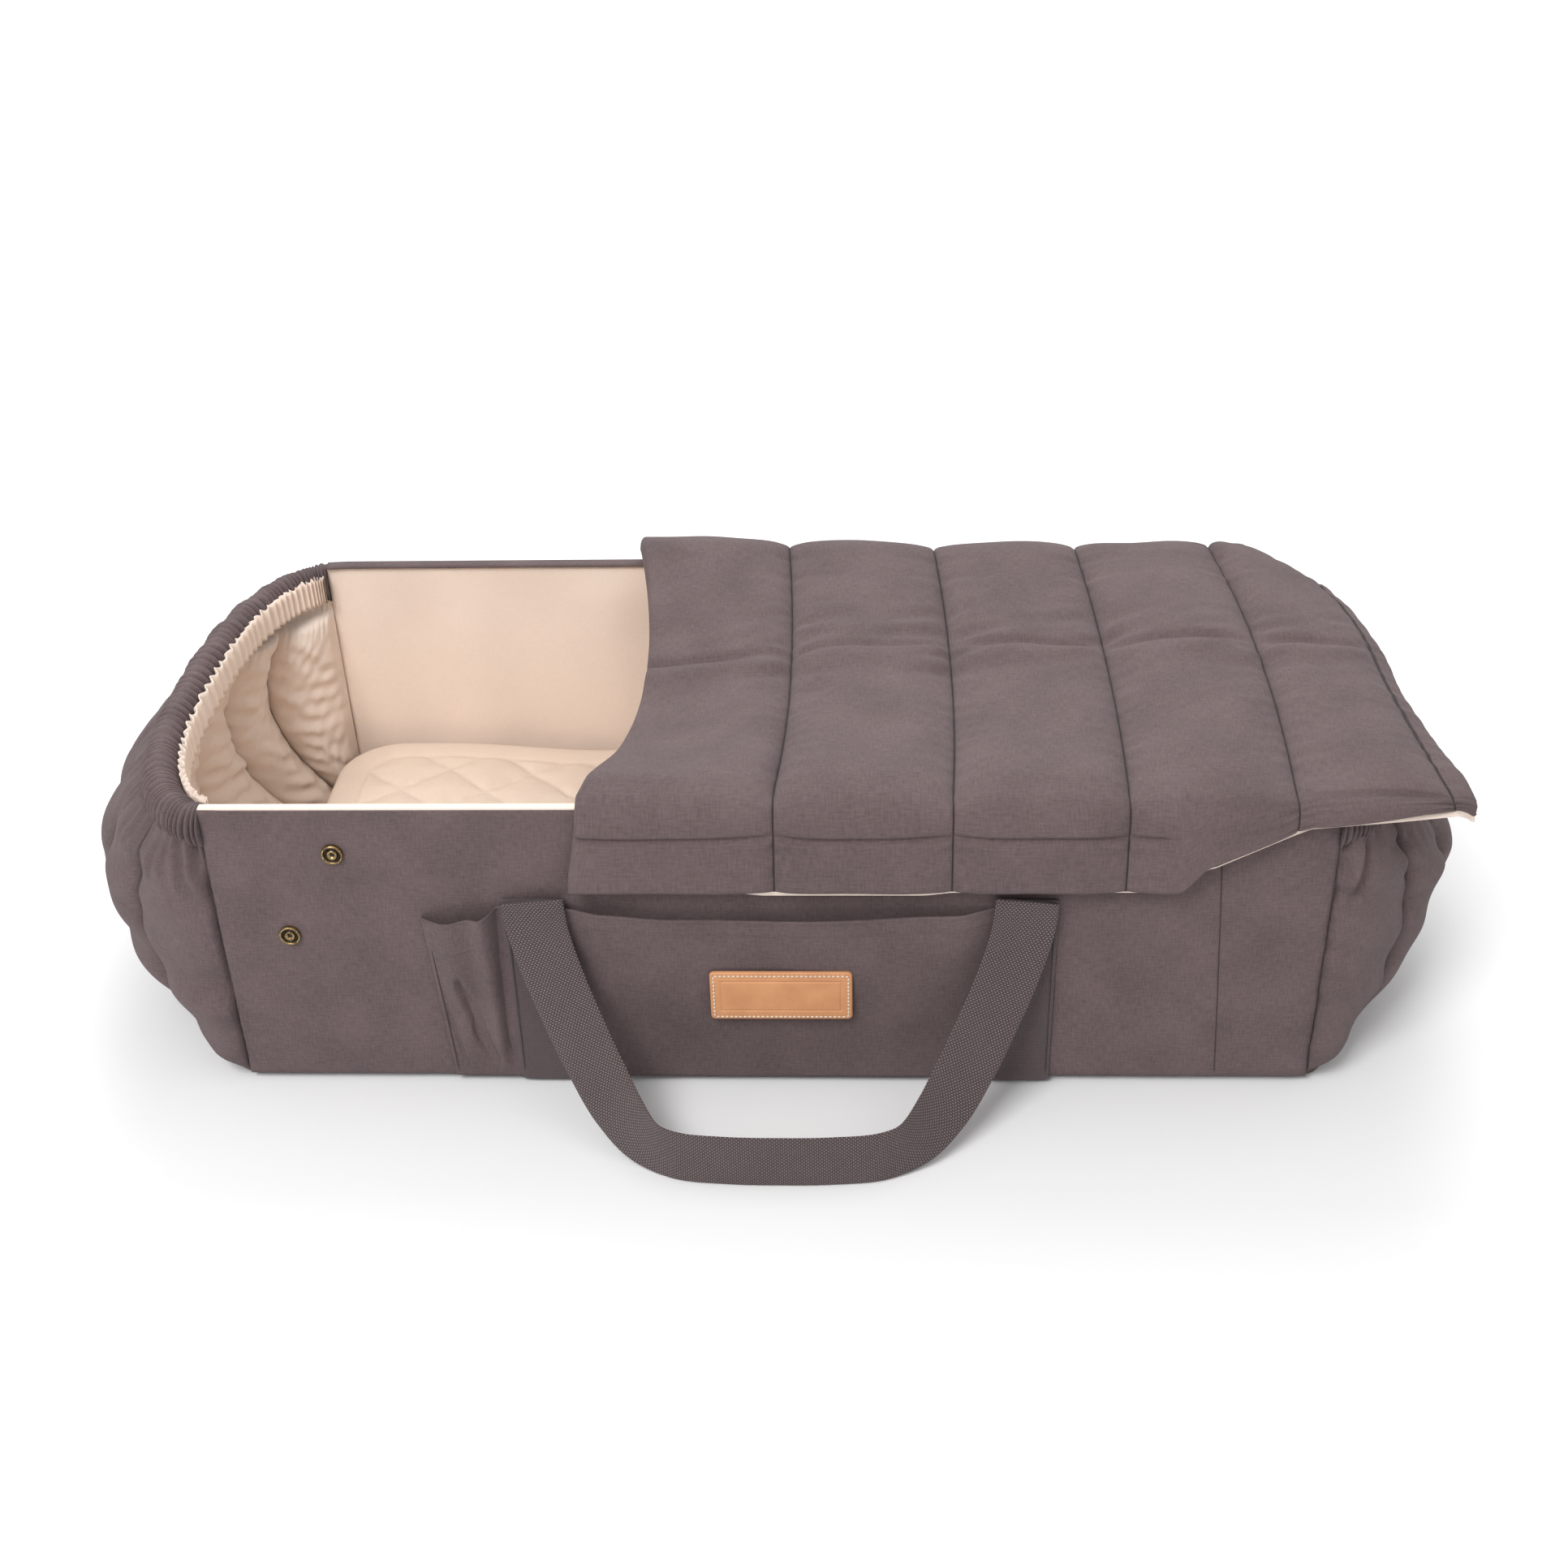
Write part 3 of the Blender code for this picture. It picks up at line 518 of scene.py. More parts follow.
def outer_wall(name, side, over, *replaced):
    """One wall's outer cloth, CLOTH thick, with the relief above."""
    x = np.linspace(-HALF_LENGTH, HALF_LENGTH, WALL_STEPS)
    path = wall_path(64, over=over)
    P = run_along_x(path, x, side)
    P[..., 1] += side * wall_relief(P[..., 0], P[..., 2], side)
    facing = normals(P)
    facing *= np.sign(facing[WALL_STEPS // 2, 30, 1] * side)
    return piece(slab(name, P, P - facing * CLOTH, [twill]), "cot", "twill", *replaced)


outer_wall("front_wall_cotton", -1, 0.0, "front_wall_outer", "front_wall_foam")
outer_wall("rear_wall_cotton", 1, 0.009, "rear_wall_outer", "rear_wall_foam")


# %% Cream lining of the walls
def wall_lining(name, side, over, *replaced):
    """The inner face, WALL_THICK in from the outer one, with a few soft upright creases.

    Where `over` is above 0 the lining goes on over the rim, to the outer edge."""
    x = np.linspace(-HALF_LENGTH, HALF_LENGTH, WALL_STEPS)
    z = np.linspace(WALL_FOOT_Z, RIM_Z - 0.004, 40)
    y = lean(HALF_WIDTH - WALL_THICK, z)
    path = np.stack([y, z], 1)
    top = RIM_Z + (0.0006 if over else -0.0012)
    turn = np.linspace(math.pi, math.pi / 2, 7)[1:]
    radius = top - path[-1, 1]
    path = np.concatenate([path, np.stack([path[-1, 0] + radius + radius * np.cos(turn),
                                           path[-1, 1] + radius * np.sin(turn)], 1)])
    if over:
        path = np.concatenate([path, [[HALF_WIDTH - 0.0030, top], [HALF_WIDTH - 0.0016, top - 0.0006]]])
    else:
        path = np.concatenate([path, [[HALF_WIDTH - 0.004, top]]])
    P = run_along_x(path, x, side)
    X, Z = P[..., 0], P[..., 2]
    calm = smooth((RIM_Z - Z) / 0.06) * smooth(Z / 0.05)
    crease = 0.0030 * waves(X, Z * 0.25, 41 + side, 0.085, 0.0, 0.18) * calm
    soft = 0.0012 * waves(X, Z, 51 + side, 0.16) * smooth((RIM_Z - Z) / 0.03)
    P[..., 1] -= side * (crease + soft)
    facing = normals(P)
    facing *= -np.sign(facing[WALL_STEPS // 2, 10, 1] * side)
    inner = P - facing * CLOTH
    return piece(slab(name, P, inner, [cream]), "cot", "lining", *replaced)


wall_lining("front_wall_cream", -1, True, "front_wall_lining")
wall_lining("rear_wall_cream", 1, False, "rear_wall_lining")

# %% [markdown]
# ## Quilted ends
#
# An end is a deep, round pocket of cloth sewn in seven upright channels round the cot's end. Its
# plan is a superellipse, a curve between an ellipse and a rectangle, and its side view swells out
# between floor and rim. Each channel is a smooth crown between two seams. Short pulls run off the
# seams and off the gathered rim, where more cloth is sewn to a shorter edge.

# %% The shape of an end
END_FLOOR, END_RIM, END_SWELL, END_SQUARE = 0.034, 0.047, 0.075, 2.6
END_SEAMS = [-1, -0.66, -0.40, -0.14, 0.14, 0.40, 0.66, 1]
CHANNEL_STEPS = 44
END_ROWS = 100
WALL_TOP_V, LINING_TOP_V, BAND_V = 0.90, 0.925, 0.80
OUT_PUFF, IN_PUFF = 0.0120, 0.0215
OUT_FACE, OUT_BACK, IN_BACK, IN_FACE = 0.0045, 0.0075, 0.0080, 0.0125
RIM_LESS, BELLY_LESS = {-1: 0.002, 1: 0.006}, {-1: 0.009, 1: 0.015}
RIM_V, RIM_DEPTH = 0.935, 0.0085


def end_grid(s, v, proud, side):
    """Points of an end at plan parameter s (-1 front, 1 rear), height share v, `proud` out of its face.

    out(v) = a straight lean + END_SWELL * sin(pi v)^0.9, plan x = HALF_LENGTH + out * (1 - |t|^2.6)^0.5
    and y = HALF_WIDTH * t with t = sin(pi s / 2)."""
    out = mix(END_FLOOR, END_RIM, v) + END_SWELL * np.maximum(np.sin(math.pi * np.clip(v, 0, 1)), 0) ** 0.9

    def plan(q):
        t = np.sin(math.pi / 2 * np.clip(q, -1, 1))
        return HALF_LENGTH + out * np.sqrt(np.maximum(0, 1 - np.abs(t) ** END_SQUARE)), HALF_WIDTH * t

    x, y = plan(s)
    x0, y0 = plan(s - 0.01)
    x1, y1 = plan(s + 0.01)
    run = np.hypot(x1 - x0, y1 - y0) + 1e-9
    nx, ny = (y1 - y0) / run, -(x1 - x0) / run
    corner = np.abs(s) > 0.999
    nx, ny = np.where(corner, 0, nx), np.where(corner, np.sign(s), ny)
    z = mix(WALL_FOOT_Z, RIM_Z, v)
    x = np.maximum(x + proud * nx, HALF_LENGTH + 0.0002)
    return np.stack([side * x, lean(y + proud * ny, z), z], -1)


def less(s, v, side):
    """How far an end is drawn in from its working shape: most at mid height, and nil at the corners."""
    return (RIM_LESS[side] + BELLY_LESS[side] * np.sin(math.pi * v)) * (1 - np.abs(s) ** 4)


def channel_share(s):
    """Where s lies across its channel, from 0 at one seam to 1 at the next."""
    return np.interp(s, END_SEAMS, range(len(END_SEAMS))) % 1.0


def pulls(s, v, seed, side):
    """Creases of an end in metres: pulls off each seam, gathers below the rim, and corner tucks."""
    c = channel_share(s)
    seam = np.exp(-np.minimum(c, 1 - c) * 7)
    across = s * 0.28
    up = v * 0.22
    off_seam = 0.0024 * waves(across * 0.35, up, seed, 0.024, 1.45, 0.22) * seam
    slant = 0.0026 * waves(across * 0.6, up, seed + 1, 0.060, 1.1 * side, 0.25)
    gathers = 0.0032 * waves(across, up * 0.25, seed + 2, 0.015, 0.0, 0.22) * smooth((v - 0.66) / 0.30)
    corner = smooth((np.abs(s) - 0.66) / 0.3)
    tucks = 0.0066 * waves(across + 0.45 * np.sign(s) * v * 0.22, up * 0.25, seed + 3, 0.021, 0.0, 0.35)
    slant = slant * smooth(v * 3) * smooth((1 - v) * 4)
    return off_seam + slant + gathers + tucks * corner * smooth((v - 0.58) / 0.3)


def crown(c, height, power, steep):
    """A padded channel's height: nil at its seams, height * (1 - |2c - 1|^power)^steep between them."""
    return height * (1 - np.abs(2 * c - 1) ** power) ** steep


def eased(knots, steps, share=0.8):
    """Places between knots, packed closer together at every knot."""
    even = np.linspace(0, 1, steps + 1)[:-1]
    ease = (1 - share) * even + share * (0.5 - 0.5 * np.cos(math.pi * even))
    return np.concatenate([a + (b - a) * ease for a, b in zip(knots, knots[1:])] + [[knots[-1]]])


def end_puff(s, height):
    """The crown of every channel of an end."""
    return crown(channel_share(s), height, 2.0, 0.5)


def paint_seam_shade(obj, rows, across):
    """The faces on both sides of the given grid rows take the second material, a line of painted seam
    shadow along the stitched seam.
    """
    slots = np.zeros(len(obj.data.polygons), np.int32)
    for row in rows:
        slots[(row - 1) * across:(row + 1) * across] = 1
    obj.data.polygons.foreach_set("material_index", slots)


def make_end(prefix, side, seed):
    """The outer cotton and the cream lining of one end, each a closed padded shell.

    Each face stands off the working shape by -(its depth) and less(), plus or minus the puff, which
    is crown + pulls. The puff fades at both ends, at the floor and towards the rim. The lining's
    puff stops at BAND_V, and a flat gathered band runs on above it."""
    places = eased(END_SEAMS, CHANNEL_STEPS)
    rows = [CHANNEL_STEPS * n for n in range(1, len(END_SEAMS) - 1)]
    s, v = np.meshgrid(places, np.linspace(0, WALL_TOP_V, END_ROWS), indexing="ij")
    fade = np.minimum(1, (1 - np.abs(s)) / 0.02) * smooth((v + 0.02) / 0.10)
    fade = fade * mix(1.0, 0.5, smooth((v - 0.7) / 0.2))
    puff = end_puff(s, OUT_PUFF) * fade + pulls(s, v, seed, side) * np.minimum(1, fade * 1.2)
    outer = end_grid(s, v, puff - OUT_FACE - less(s, v, side), side)
    back = end_grid(s, v, -OUT_BACK - less(s, v, side), side)
    # The seam faces take the dark colour: the stitching thread, with painted seam shadow.
    cloth_out = slab(f"{prefix}_end_cotton", outer, back, [twill, thread_and_seam_shade_dark])
    paint_seam_shade(cloth_out, rows, END_ROWS - 1)
    wadding = [name for name in frame["nodes"] if name.startswith(f"{prefix}_wadding")]
    piece(cloth_out, "cot", "twill", f"{prefix}_end_outer", *wadding)
    v = v / WALL_TOP_V * LINING_TOP_V
    filled = fade * (1 - 0.85 * smooth((v - BAND_V) / 0.035))
    wrinkles = 0.0019 * waves(s * 0.22, v * 0.22, seed + 12, 0.019, 1.45, 0.42)
    wrinkles = wrinkles * smooth((BAND_V - v) / 0.1)
    gathers = 0.0012 * waves(s * 0.28, v * 0.03, seed + 13, 0.009, 0.0, 0.2)
    gathers = gathers * smooth((v - BAND_V + 0.08) / 0.08)
    soft = pulls(s, v * 0.7, seed + 10, -side)
    puff = end_puff(s, IN_PUFF) * filled + (wrinkles + gathers + 0.9 * soft) * fade
    inner = end_grid(s, v, -IN_FACE - less(s, v, side) - puff, side)
    behind = end_grid(s, v, -IN_BACK - less(s, v, side), side)
    # The seam faces take a tan that paints the shadow in the seams on the cream.
    cloth_in = slab(f"{prefix}_end_cream", inner, behind, [cream, seam_shade_tan])
    paint_seam_shade(cloth_in, rows, END_ROWS - 1)
    piece(cloth_in, "cot", "lining", f"{prefix}_end_lining")


make_end("head", -1, 100)
make_end("foot", 1, 200)

# %% [markdown]
# ## Gathered rim
#
# The rim of each end is a casing round an elastic. Its cloth is longer than the elastic, so it
# stands in dense pleats across the rim. Inside it the lining's edge stands up as a small frill.
# The casing is a flattened ring section whose size ripples along the rim. The cover presses the
# foot casing down and in at its rear corner. The frill is a ribbon whose sideways wave grows
# towards its free edge.

# %% Casing and frill
CASING_WIDE, CASING_HIGH, CASING_PLEATS = 0.0105, 0.0135, 34
FRILL_FOOT, FRILL_TOP, FRILL_PLEATS = -0.012, 0.0080, 46
FRILL_IN, FRILL_THICK = 0.0128, 0.0007
PRESSED = 0.004


def pleat_phase(s, pleats, seed):
    """Pleats counted along the rim, with their spacing made uneven."""
    draw = np.random.default_rng(seed)
    phase = pleats * math.pi * s
    for k in range(1, 9):
        phase = phase + draw.normal(0, 1.1) / k ** 0.5 * np.sin(k * 5.1 * s + draw.uniform(0, 6.28))
    return phase


def make_rim(prefix, side, seed):
    """The casing, a ring CASING_WIDE by CASING_HIGH that swells at every pleat, and its frill.

    The frill's sideways wave is sin(phase), and its height runs from FRILL_FOOT to FRILL_TOP."""
    around = np.linspace(0, 2 * math.pi, 32, endpoint=False)
    s, a = np.meshgrid(np.linspace(-1, 1, 1001), around, indexing="ij")
    phase = pleat_phase(s, CASING_PLEATS, seed) + 0.7 * np.sin(a + 2.0 * np.sin(3 * s))
    ridge = np.abs(np.sin(phase)) ** 0.8
    deep = 0.8 + 0.3 * waves(s * 0.3, a * 0.01, seed + 1, 0.03)
    size = 1.0 + 0.48 * (ridge - 0.65) * deep
    pressed = smooth((s * side - 0.30) / 0.20) * (side > 0)
    drawn = less(s, RIM_V, side) + PRESSED * pressed * (1 - np.abs(s) ** 8)
    proud = 0.001 - drawn - RIM_DEPTH + CASING_WIDE * np.cos(a) * size
    flat = end_grid(s, np.full(s.shape, RIM_V), proud, side)
    uneven = 0.0008 * waves(s * 0.3, a * 0, seed + 2, 0.05)
    flat[..., 2] += CASING_HIGH * np.sin(a) * (0.85 + 0.15 * size) + uneven - 0.002
    flat[..., 2] -= PRESSED * pressed
    casing = piece(loop(f"{prefix}_rim_gathered_casing", flat, [twill]), "cot", "twill",
                   f"{prefix}_rim_casing", f"{prefix}_rim_elastic")
    s, h = np.meshgrid(np.linspace(-1, 1, 1401), np.linspace(0, 1, 8), indexing="ij")
    wave = np.sin(pleat_phase(s, FRILL_PLEATS, seed + 5))
    inwards = FRILL_IN + less(s, RIM_V, side) + 0.0017 * wave * mix(0.7, 1.0, h) - 0.0010 * h
    P = end_grid(s, np.full(s.shape, RIM_V), -(RIM_DEPTH + inwards), side)
    P[..., 2] += mix(FRILL_FOOT, FRILL_TOP, h) + 0.0010 * waves(s * 0.3, h * 0, seed + 6, 0.012) * h
    Q = end_grid(s, np.full(s.shape, RIM_V), -(RIM_DEPTH + inwards + FRILL_THICK), side)
    Q[..., 2] = P[..., 2]
    piece(slab(f"{prefix}_rim_frill", P, Q, [cream]), "cot", "lining")
    length = np.linalg.norm(np.diff(P[:, -1], axis=0), axis=1).sum()
    print(prefix, "frill length", round(float(length), 3))


make_rim("head", -1, 300)
make_rim("foot", 1, 340)

# %% [markdown]
# ## Mattress
#
# The mattress is a thin pad under a quilted sheet. Two sets of slanting seams cross into diamonds,
# and a flat border runs round with rounded corners. Its plan is a rectangle grid whose rows are
# shortened near the corners, so that the outline follows a quarter circle there.

# %% Mattress surface
mattress_low, mattress_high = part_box("mattress_core")[0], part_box("sheet_border")[1]
BED_X, BED_Y, BED_CORNER = mattress_high.x, mattress_high.y, 0.050
BORDER = 0.024
DIAMOND = 0.062
QUILT_HIGH, BORDER_HIGH, PUCKER_HIGH, SOFT_HIGH = 0.0040, 0.0022, 0.0007, 0.0010
SIDE_ROUND = 0.008


def edge_distance(x, y, half_x, half_y, corner):
    """Distance inside a rounded rectangle from its outline."""
    qx, qy = np.abs(x) - (half_x - corner), np.abs(y) - (half_y - corner)
    outside = np.hypot(np.maximum(qx, 0), np.maximum(qy, 0)) + np.minimum(np.maximum(qx, qy), 0)
    return corner - outside


def make_mattress():
    """The quilted pad. Its top is level, plus diamonds + border + pucker + soft + raised.

    A diamond rises as (distance to the nearest seam)^0.55, the border as the root of a half sine
    across its width, and the side rounds off as a quarter circle over 8 mm."""
    u, v = np.meshgrid(np.linspace(-1, 1, 333), np.linspace(-1, 1, 147), indexing="ij")
    y = v * BED_Y
    bend = np.maximum(np.abs(y) - (BED_Y - BED_CORNER), 0)
    x = u * (BED_X - BED_CORNER + np.sqrt(np.maximum(BED_CORNER ** 2 - bend ** 2, 0)))
    d = edge_distance(x, y, BED_X, BED_Y, BED_CORNER)
    side_round = np.sqrt(np.clip(1 - (1 - np.clip(d / SIDE_ROUND, 0, 1)) ** 2, 0, 1))
    inside = smooth((d - BORDER) / 0.006)
    p, q = (x + 1.15 * y) / DIAMOND, (x - 1.15 * y) / DIAMOND
    from_seam = np.minimum(np.abs(np.sin(math.pi * p)), np.abs(np.sin(math.pi * q)))
    diamonds = QUILT_HIGH * (from_seam ** 0.55) * inside
    border = BORDER_HIGH * np.sqrt(np.clip(np.sin(math.pi * np.clip(d / BORDER, 0, 1)), 0, 1))
    pucker = PUCKER_HIGH * waves(x, y, 71, 0.016, 0.8, 1.5) * (1 - from_seam) ** 3 * inside
    soft = SOFT_HIGH * waves(x, y, 72, 0.20)
    raised = 0.006 * smooth((-x - 0.12) / 0.14) + 0.002
    top = mattress_high.z - 0.0060 + diamonds + border + pucker + soft + raised - 0.004 * (1 - side_round)
    base = mattress_low.z + 0.004
    z = mix(base + 0.020, top, side_round)
    P = np.stack([x, y, z], -1)
    Q = np.stack([x * 0.995, y * 0.99, np.full(x.shape, base)], -1)
    bed = piece(slab("mattress_quilted", P, Q, [sheet_cotton]), "cot", "lining",
                "mattress_core", "quilted_sheet", "sheet_border")


make_mattress()

# %% [markdown]
# ## Quilted cover
#
# The cover is one quilted sheet. It lies across both rims, hangs down outside the side walls as
# flaps, steps up towards the foot and drapes over the foot end. First comes its resting surface, as
# a path across the cot at each place along it. The wadding is then added along the surface's own
# normals: a round crown between the seams, thinned at the hems. Puckers run off the seams, and a
# long crease with branches lies along the middle, where it has been folded in storage.
#
# The cover folds back at its third seam. Here it is one piece in its resting shape.

# %% Resting surface of the cover
SEAMS = [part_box(f"cover_channel_{n}")[0].x for n in (2, 3, 4, 5)]
SEAMS = [s - 0.0006 for s in SEAMS]
HEAD_EDGE, LAST_SEAM = -0.106, 0.385
FOOT_FALL = 0.034
STEP_X = 0.236
REAR_TURN, FRONT_TURN = 0.17, 0.83
COVER_Z = 0.2030
REAR_Y, FRONT_Y = HALF_WIDTH + 0.002, -(HALF_WIDTH - 0.003)
TURN = 0.0085
print("cover seams", [round(s, 3) for s in SEAMS])


def front_drop(x):
    """How far the front hem hangs below the cover: level, then a step, then rising to the foot corner."""
    drop = np.where(x < STEP_X, 0.0530, mix(0.0530, 0.0350, smooth((x - STEP_X) / 0.022)))
    drop = np.where(x > 0.258, mix(0.0350, 0.0100, (x - 0.258) / 0.052), drop)
    drop = np.where(x > 0.310, mix(0.0100, 0.0020, np.clip((x - 0.310) / 0.080, 0, 1)), drop)
    return drop


def rear_drop(x):
    """The same at the rear: level as far as the step, then a smooth rise to a short hem."""
    return np.where(x < STEP_X, 0.0500, mix(0.0500, 0.0120, smooth((x - STEP_X) / 0.075)))


def hanging_length(drop):
    """Cloth needed to hang `drop` below the bend: a quarter turn of radius TURN, then straight."""
    short = TURN * np.arccos(np.clip(1 - drop / TURN, -1, 1))
    return np.where(drop < TURN, short, drop + (math.pi / 2 - 1) * TURN)


def turned_down(q):
    """(outwards, downwards) after q metres of cloth beyond the start of a bend."""
    angle = np.minimum(q / TURN, math.pi / 2)
    extra = np.maximum(q - TURN * math.pi / 2, 0)
    return TURN * np.sin(angle), TURN * (1 - np.cos(angle)) + extra


def cover_ends(along, y):
    """x of the sheet at `along`, which runs straight through the middle and is shaped at both ends."""
    across = np.clip(y / REAR_Y, -1, 1)
    head = np.clip((SEAMS[0] - along) / (SEAMS[0] - HEAD_EDGE), 0, 1)
    tail = np.clip((along - SEAMS[-1]) / (LAST_SEAM - SEAMS[-1]), 0, 1)
    shift = head * (0.020 * (1 - across ** 2) + 0.004 * across)
    bow = 0.006 * (1 - across ** 2) * (1 - head) * (1 - tail)
    foot = tail * (np.where(across < 0, 0.008 * across ** 2, -0.053 * across ** 3) - 0.003)
    return along + shift + bow + foot


def cover_surface(along, share, longer=0.0):
    """Resting points: share 0 is the rear hem and 1 the front hem. REAR_TURN to FRONT_TURN lies on top.

    The front hem hangs `longer` metres lower than it should."""
    over = np.clip((share - REAR_TURN) / 0.66, 0, 1)
    x = cover_ends(along, mix(REAR_Y, FRONT_Y, over))
    top_y = mix(REAR_Y - TURN, FRONT_Y, over)
    rear_q = np.clip((REAR_TURN - share) / 0.17, 0, 1) * hanging_length(rear_drop(along))
    front_q = np.clip((share - FRONT_TURN) / 0.17, 0, 1) * (hanging_length(front_drop(along)) + longer)
    rear_out, rear_down = turned_down(rear_q)
    front_out, front_down = turned_down(front_q)
    y = top_y + rear_out - front_out
    flare = 0.0040 * smooth((front_down - 0.010) / 0.04) - 0.0030 * smooth((rear_down - 0.010) / 0.04)
    head = np.clip((SEAMS[0] - along) / (SEAMS[0] - HEAD_EDGE), 0, 1)
    x = x - 0.007 * smooth(front_down / 0.055) * head ** 2
    z = np.full(np.shape(x), COVER_Z) - rear_down - front_down
    z = z + 0.006 * smooth((top_y + 0.03) / 0.16) * (1 - smooth((along - HEAD_EDGE) / 0.24))
    inside = np.clip(1 - (top_y / 0.152) ** 2, 0, 1)
    sag = mix(0.021, 0.008, smooth((along - HEAD_EDGE) / 0.16)) - 0.012 * smooth((along - 0.17) / 0.10)
    z = z - sag * inside * (1 - smooth((along - 0.30) / 0.06))
    past = np.maximum(along - LAST_SEAM, 0) / FOOT_FALL
    flat = 1 - 0.86 * smooth((-top_y - 0.070) / 0.080)
    curl = np.sin(past * math.pi / 2)
    x = x + mix(past * 0.012, 0.0120 * curl, flat) - past * FOOT_FALL
    z = z - flat * 0.030 * (1 - np.cos(past * math.pi / 2)) - 0.002 * smooth((along - 0.36) / 0.04) * flat
    return np.stack([x, y - flare, z], -1)


# %% Wadding of the cover
FLAP_PUFF, TOP_PUFF, LEAST_THICK = 0.0050, 0.0098, 0.0012
HEM_SEAM_SHARE, SHARE_LENGTH = 0.893, 0.36


def seam_crown(gap, width):
    """The wadding's share of its full height, `gap` metres from a seam: a quarter of a superellipse."""
    t = 1 - np.clip(gap / width, 0, 1)
    return (1 - t ** 2.2) ** 0.5


def make_cover():
    """The padded cover and its lining, as two closed shells along the resting surface's normals.

    thickness = LEAST_THICK + puff * seam_crown(distance to the nearest seam), thinned at the hem's
    seam. The middle surface moves by crease + fan + rolling + head_dip: a fold line along the
    middle, short wrinkles that fan off it, a slow roll, and a dip at the head's front corner."""
    knots = [HEAD_EDGE] + SEAMS + [LAST_SEAM, LAST_SEAM + FOOT_FALL]
    along = np.concatenate([eased(knots[:-1], 46)[:-1], eased(knots[-2:], 20, 0.4)])
    share = np.concatenate([np.linspace(0, REAR_TURN, 30)[:-1],
                            np.linspace(REAR_TURN, FRONT_TURN, 130)[:-1],
                            np.linspace(FRONT_TURN, 1, 40)])
    A, S = np.meshgrid(along, share, indexing="ij")
    base = cover_surface(A, S)
    out = normals(base)
    if out[len(along) // 2, len(share) // 2, 2] < 0:
        out = -out
    gap = np.full(A.shape, 1.0)
    for seam in knots[1:-1]:
        gap = np.minimum(gap, np.abs(A - seam))
    q = (S - 0.5) * 0.50
    hem = np.minimum(np.minimum(S, 1 - S) * SHARE_LENGTH, np.minimum(A - HEAD_EDGE, knots[-1] - A))
    hem_round = np.sqrt(np.clip(1 - (1 - np.clip(hem / 0.004, 0, 1)) ** 2, 0, 1))
    on_top = smooth((S - 0.13) / 0.08) * smooth((0.87 - S) / 0.08)
    strip = smooth((A - LAST_SEAM) / 0.004)
    height = mix(FLAP_PUFF, TOP_PUFF, on_top) * mix(1.0, 0.55, strip)
    thick = LEAST_THICK + height * seam_crown(gap, 0.036)
    hem_line = (S - HEM_SEAM_SHARE) * SHARE_LENGTH
    thick = thick * (1 - 0.55 * hump(hem_line, 0, 0.0014) * smooth((STEP_X - A) / 0.01))
    near = np.exp(-gap / 0.013) * np.minimum(gap / 0.002, 1)
    puckers = 0.0009 * waves(A * 0.15, q, 81, 0.017, 1.57, 0.10) * near
    middle = mix(0.024, 0.010, (A - HEAD_EDGE) / 0.5) + 0.006 * np.sin(A * 14)
    off = base[..., 1] - middle
    crease = -0.0040 * np.exp(-(off / 0.0045) ** 2) + 0.0024 * np.exp(-((off + 0.013) / 0.009) ** 2)
    fan = 0.0034 * waves(A * 0.6, q, 83, 0.024, 1.45, 0.25)
    fan = fan * hump(off, 0.006, 0.040) * np.exp(-gap / 0.028)
    rolling = 0.0016 * waves(A, q, 84, 0.20, 0.5, 1.0) * on_top + 0.0008 * waves(A, q, 85, 0.070, 0.4, 0.9)
    head_dip = -0.004 * smooth((SEAMS[0] - A) / 0.10) * hump(base[..., 1], -0.08, 0.06) * on_top
    calm = 1 - smooth((A - LAST_SEAM + 0.02) / 0.02)
    shape = crease * on_top * calm + fan * on_top * calm + rolling + head_dip
    shape = shape * np.minimum(1, 0.3 + gap / 0.012)
    mid = base + out * (shape[..., None] * hem_round[..., None])
    top = mid + out * ((thick * hem_round + puckers + 0.0005)[..., None])
    under = mid + out * 0.0004
    # The seam faces take the dark colour: the stitching thread, with painted seam shadow.
    cover = slab("quilted_cover", top, under, [twill, thread_and_seam_shade_dark])
    seam_rows = np.argmin(np.abs(along[:, None] - np.array(knots[1:-1])), axis=0)
    paint_seam_shade(cover, seam_rows, len(share) - 1)
    peek = (0.0010 + 0.0020 * smooth((A + 0.02) / 0.02) * smooth((0.11 - A) / 0.02)
            + 0.0018 * smooth((A - 0.24) / 0.02))
    edge = cover_surface(A, S, peek)
    low = edge + out * (shape[..., None] * hem_round[..., None])
    sag = 0.0015 * seam_crown(gap, 0.03) * on_top * hem_round
    lining = slab("cover_cream_lining", low + out * 0.0002, low - out * (0.0008 + sag)[..., None], [cream])
    return cover, lining, top


cover, cover_lining, cover_top = make_cover()
OUTSIDE = ("cover_channel", "cover_front_flap", "cover_rear_flap", "cover_foot_flap")
for obj, slot, nodes in (
        (cover, "twill", [n for n in frame["nodes"] if n.startswith(OUTSIDE)]),
        (cover_lining, "lining", ["cover_lining_head", "cover_lining_foot"])):
    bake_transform(obj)
    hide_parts(*nodes)
print("cover top", round(float(cover_top[..., 2].max()), 4))

# %% [markdown]
# ## Straps and handles
#
# Two webbing straps run down the front wall, under the base and up the rear wall, and are sewn down
# along both edges. Above them the webbing folds over and hangs as a handle. The handle's middle line
# is a smooth curve through the points below. Its width stands square to that line and to Y.

# %% Strap and handle surfaces
WEB_THICK = 0.0022


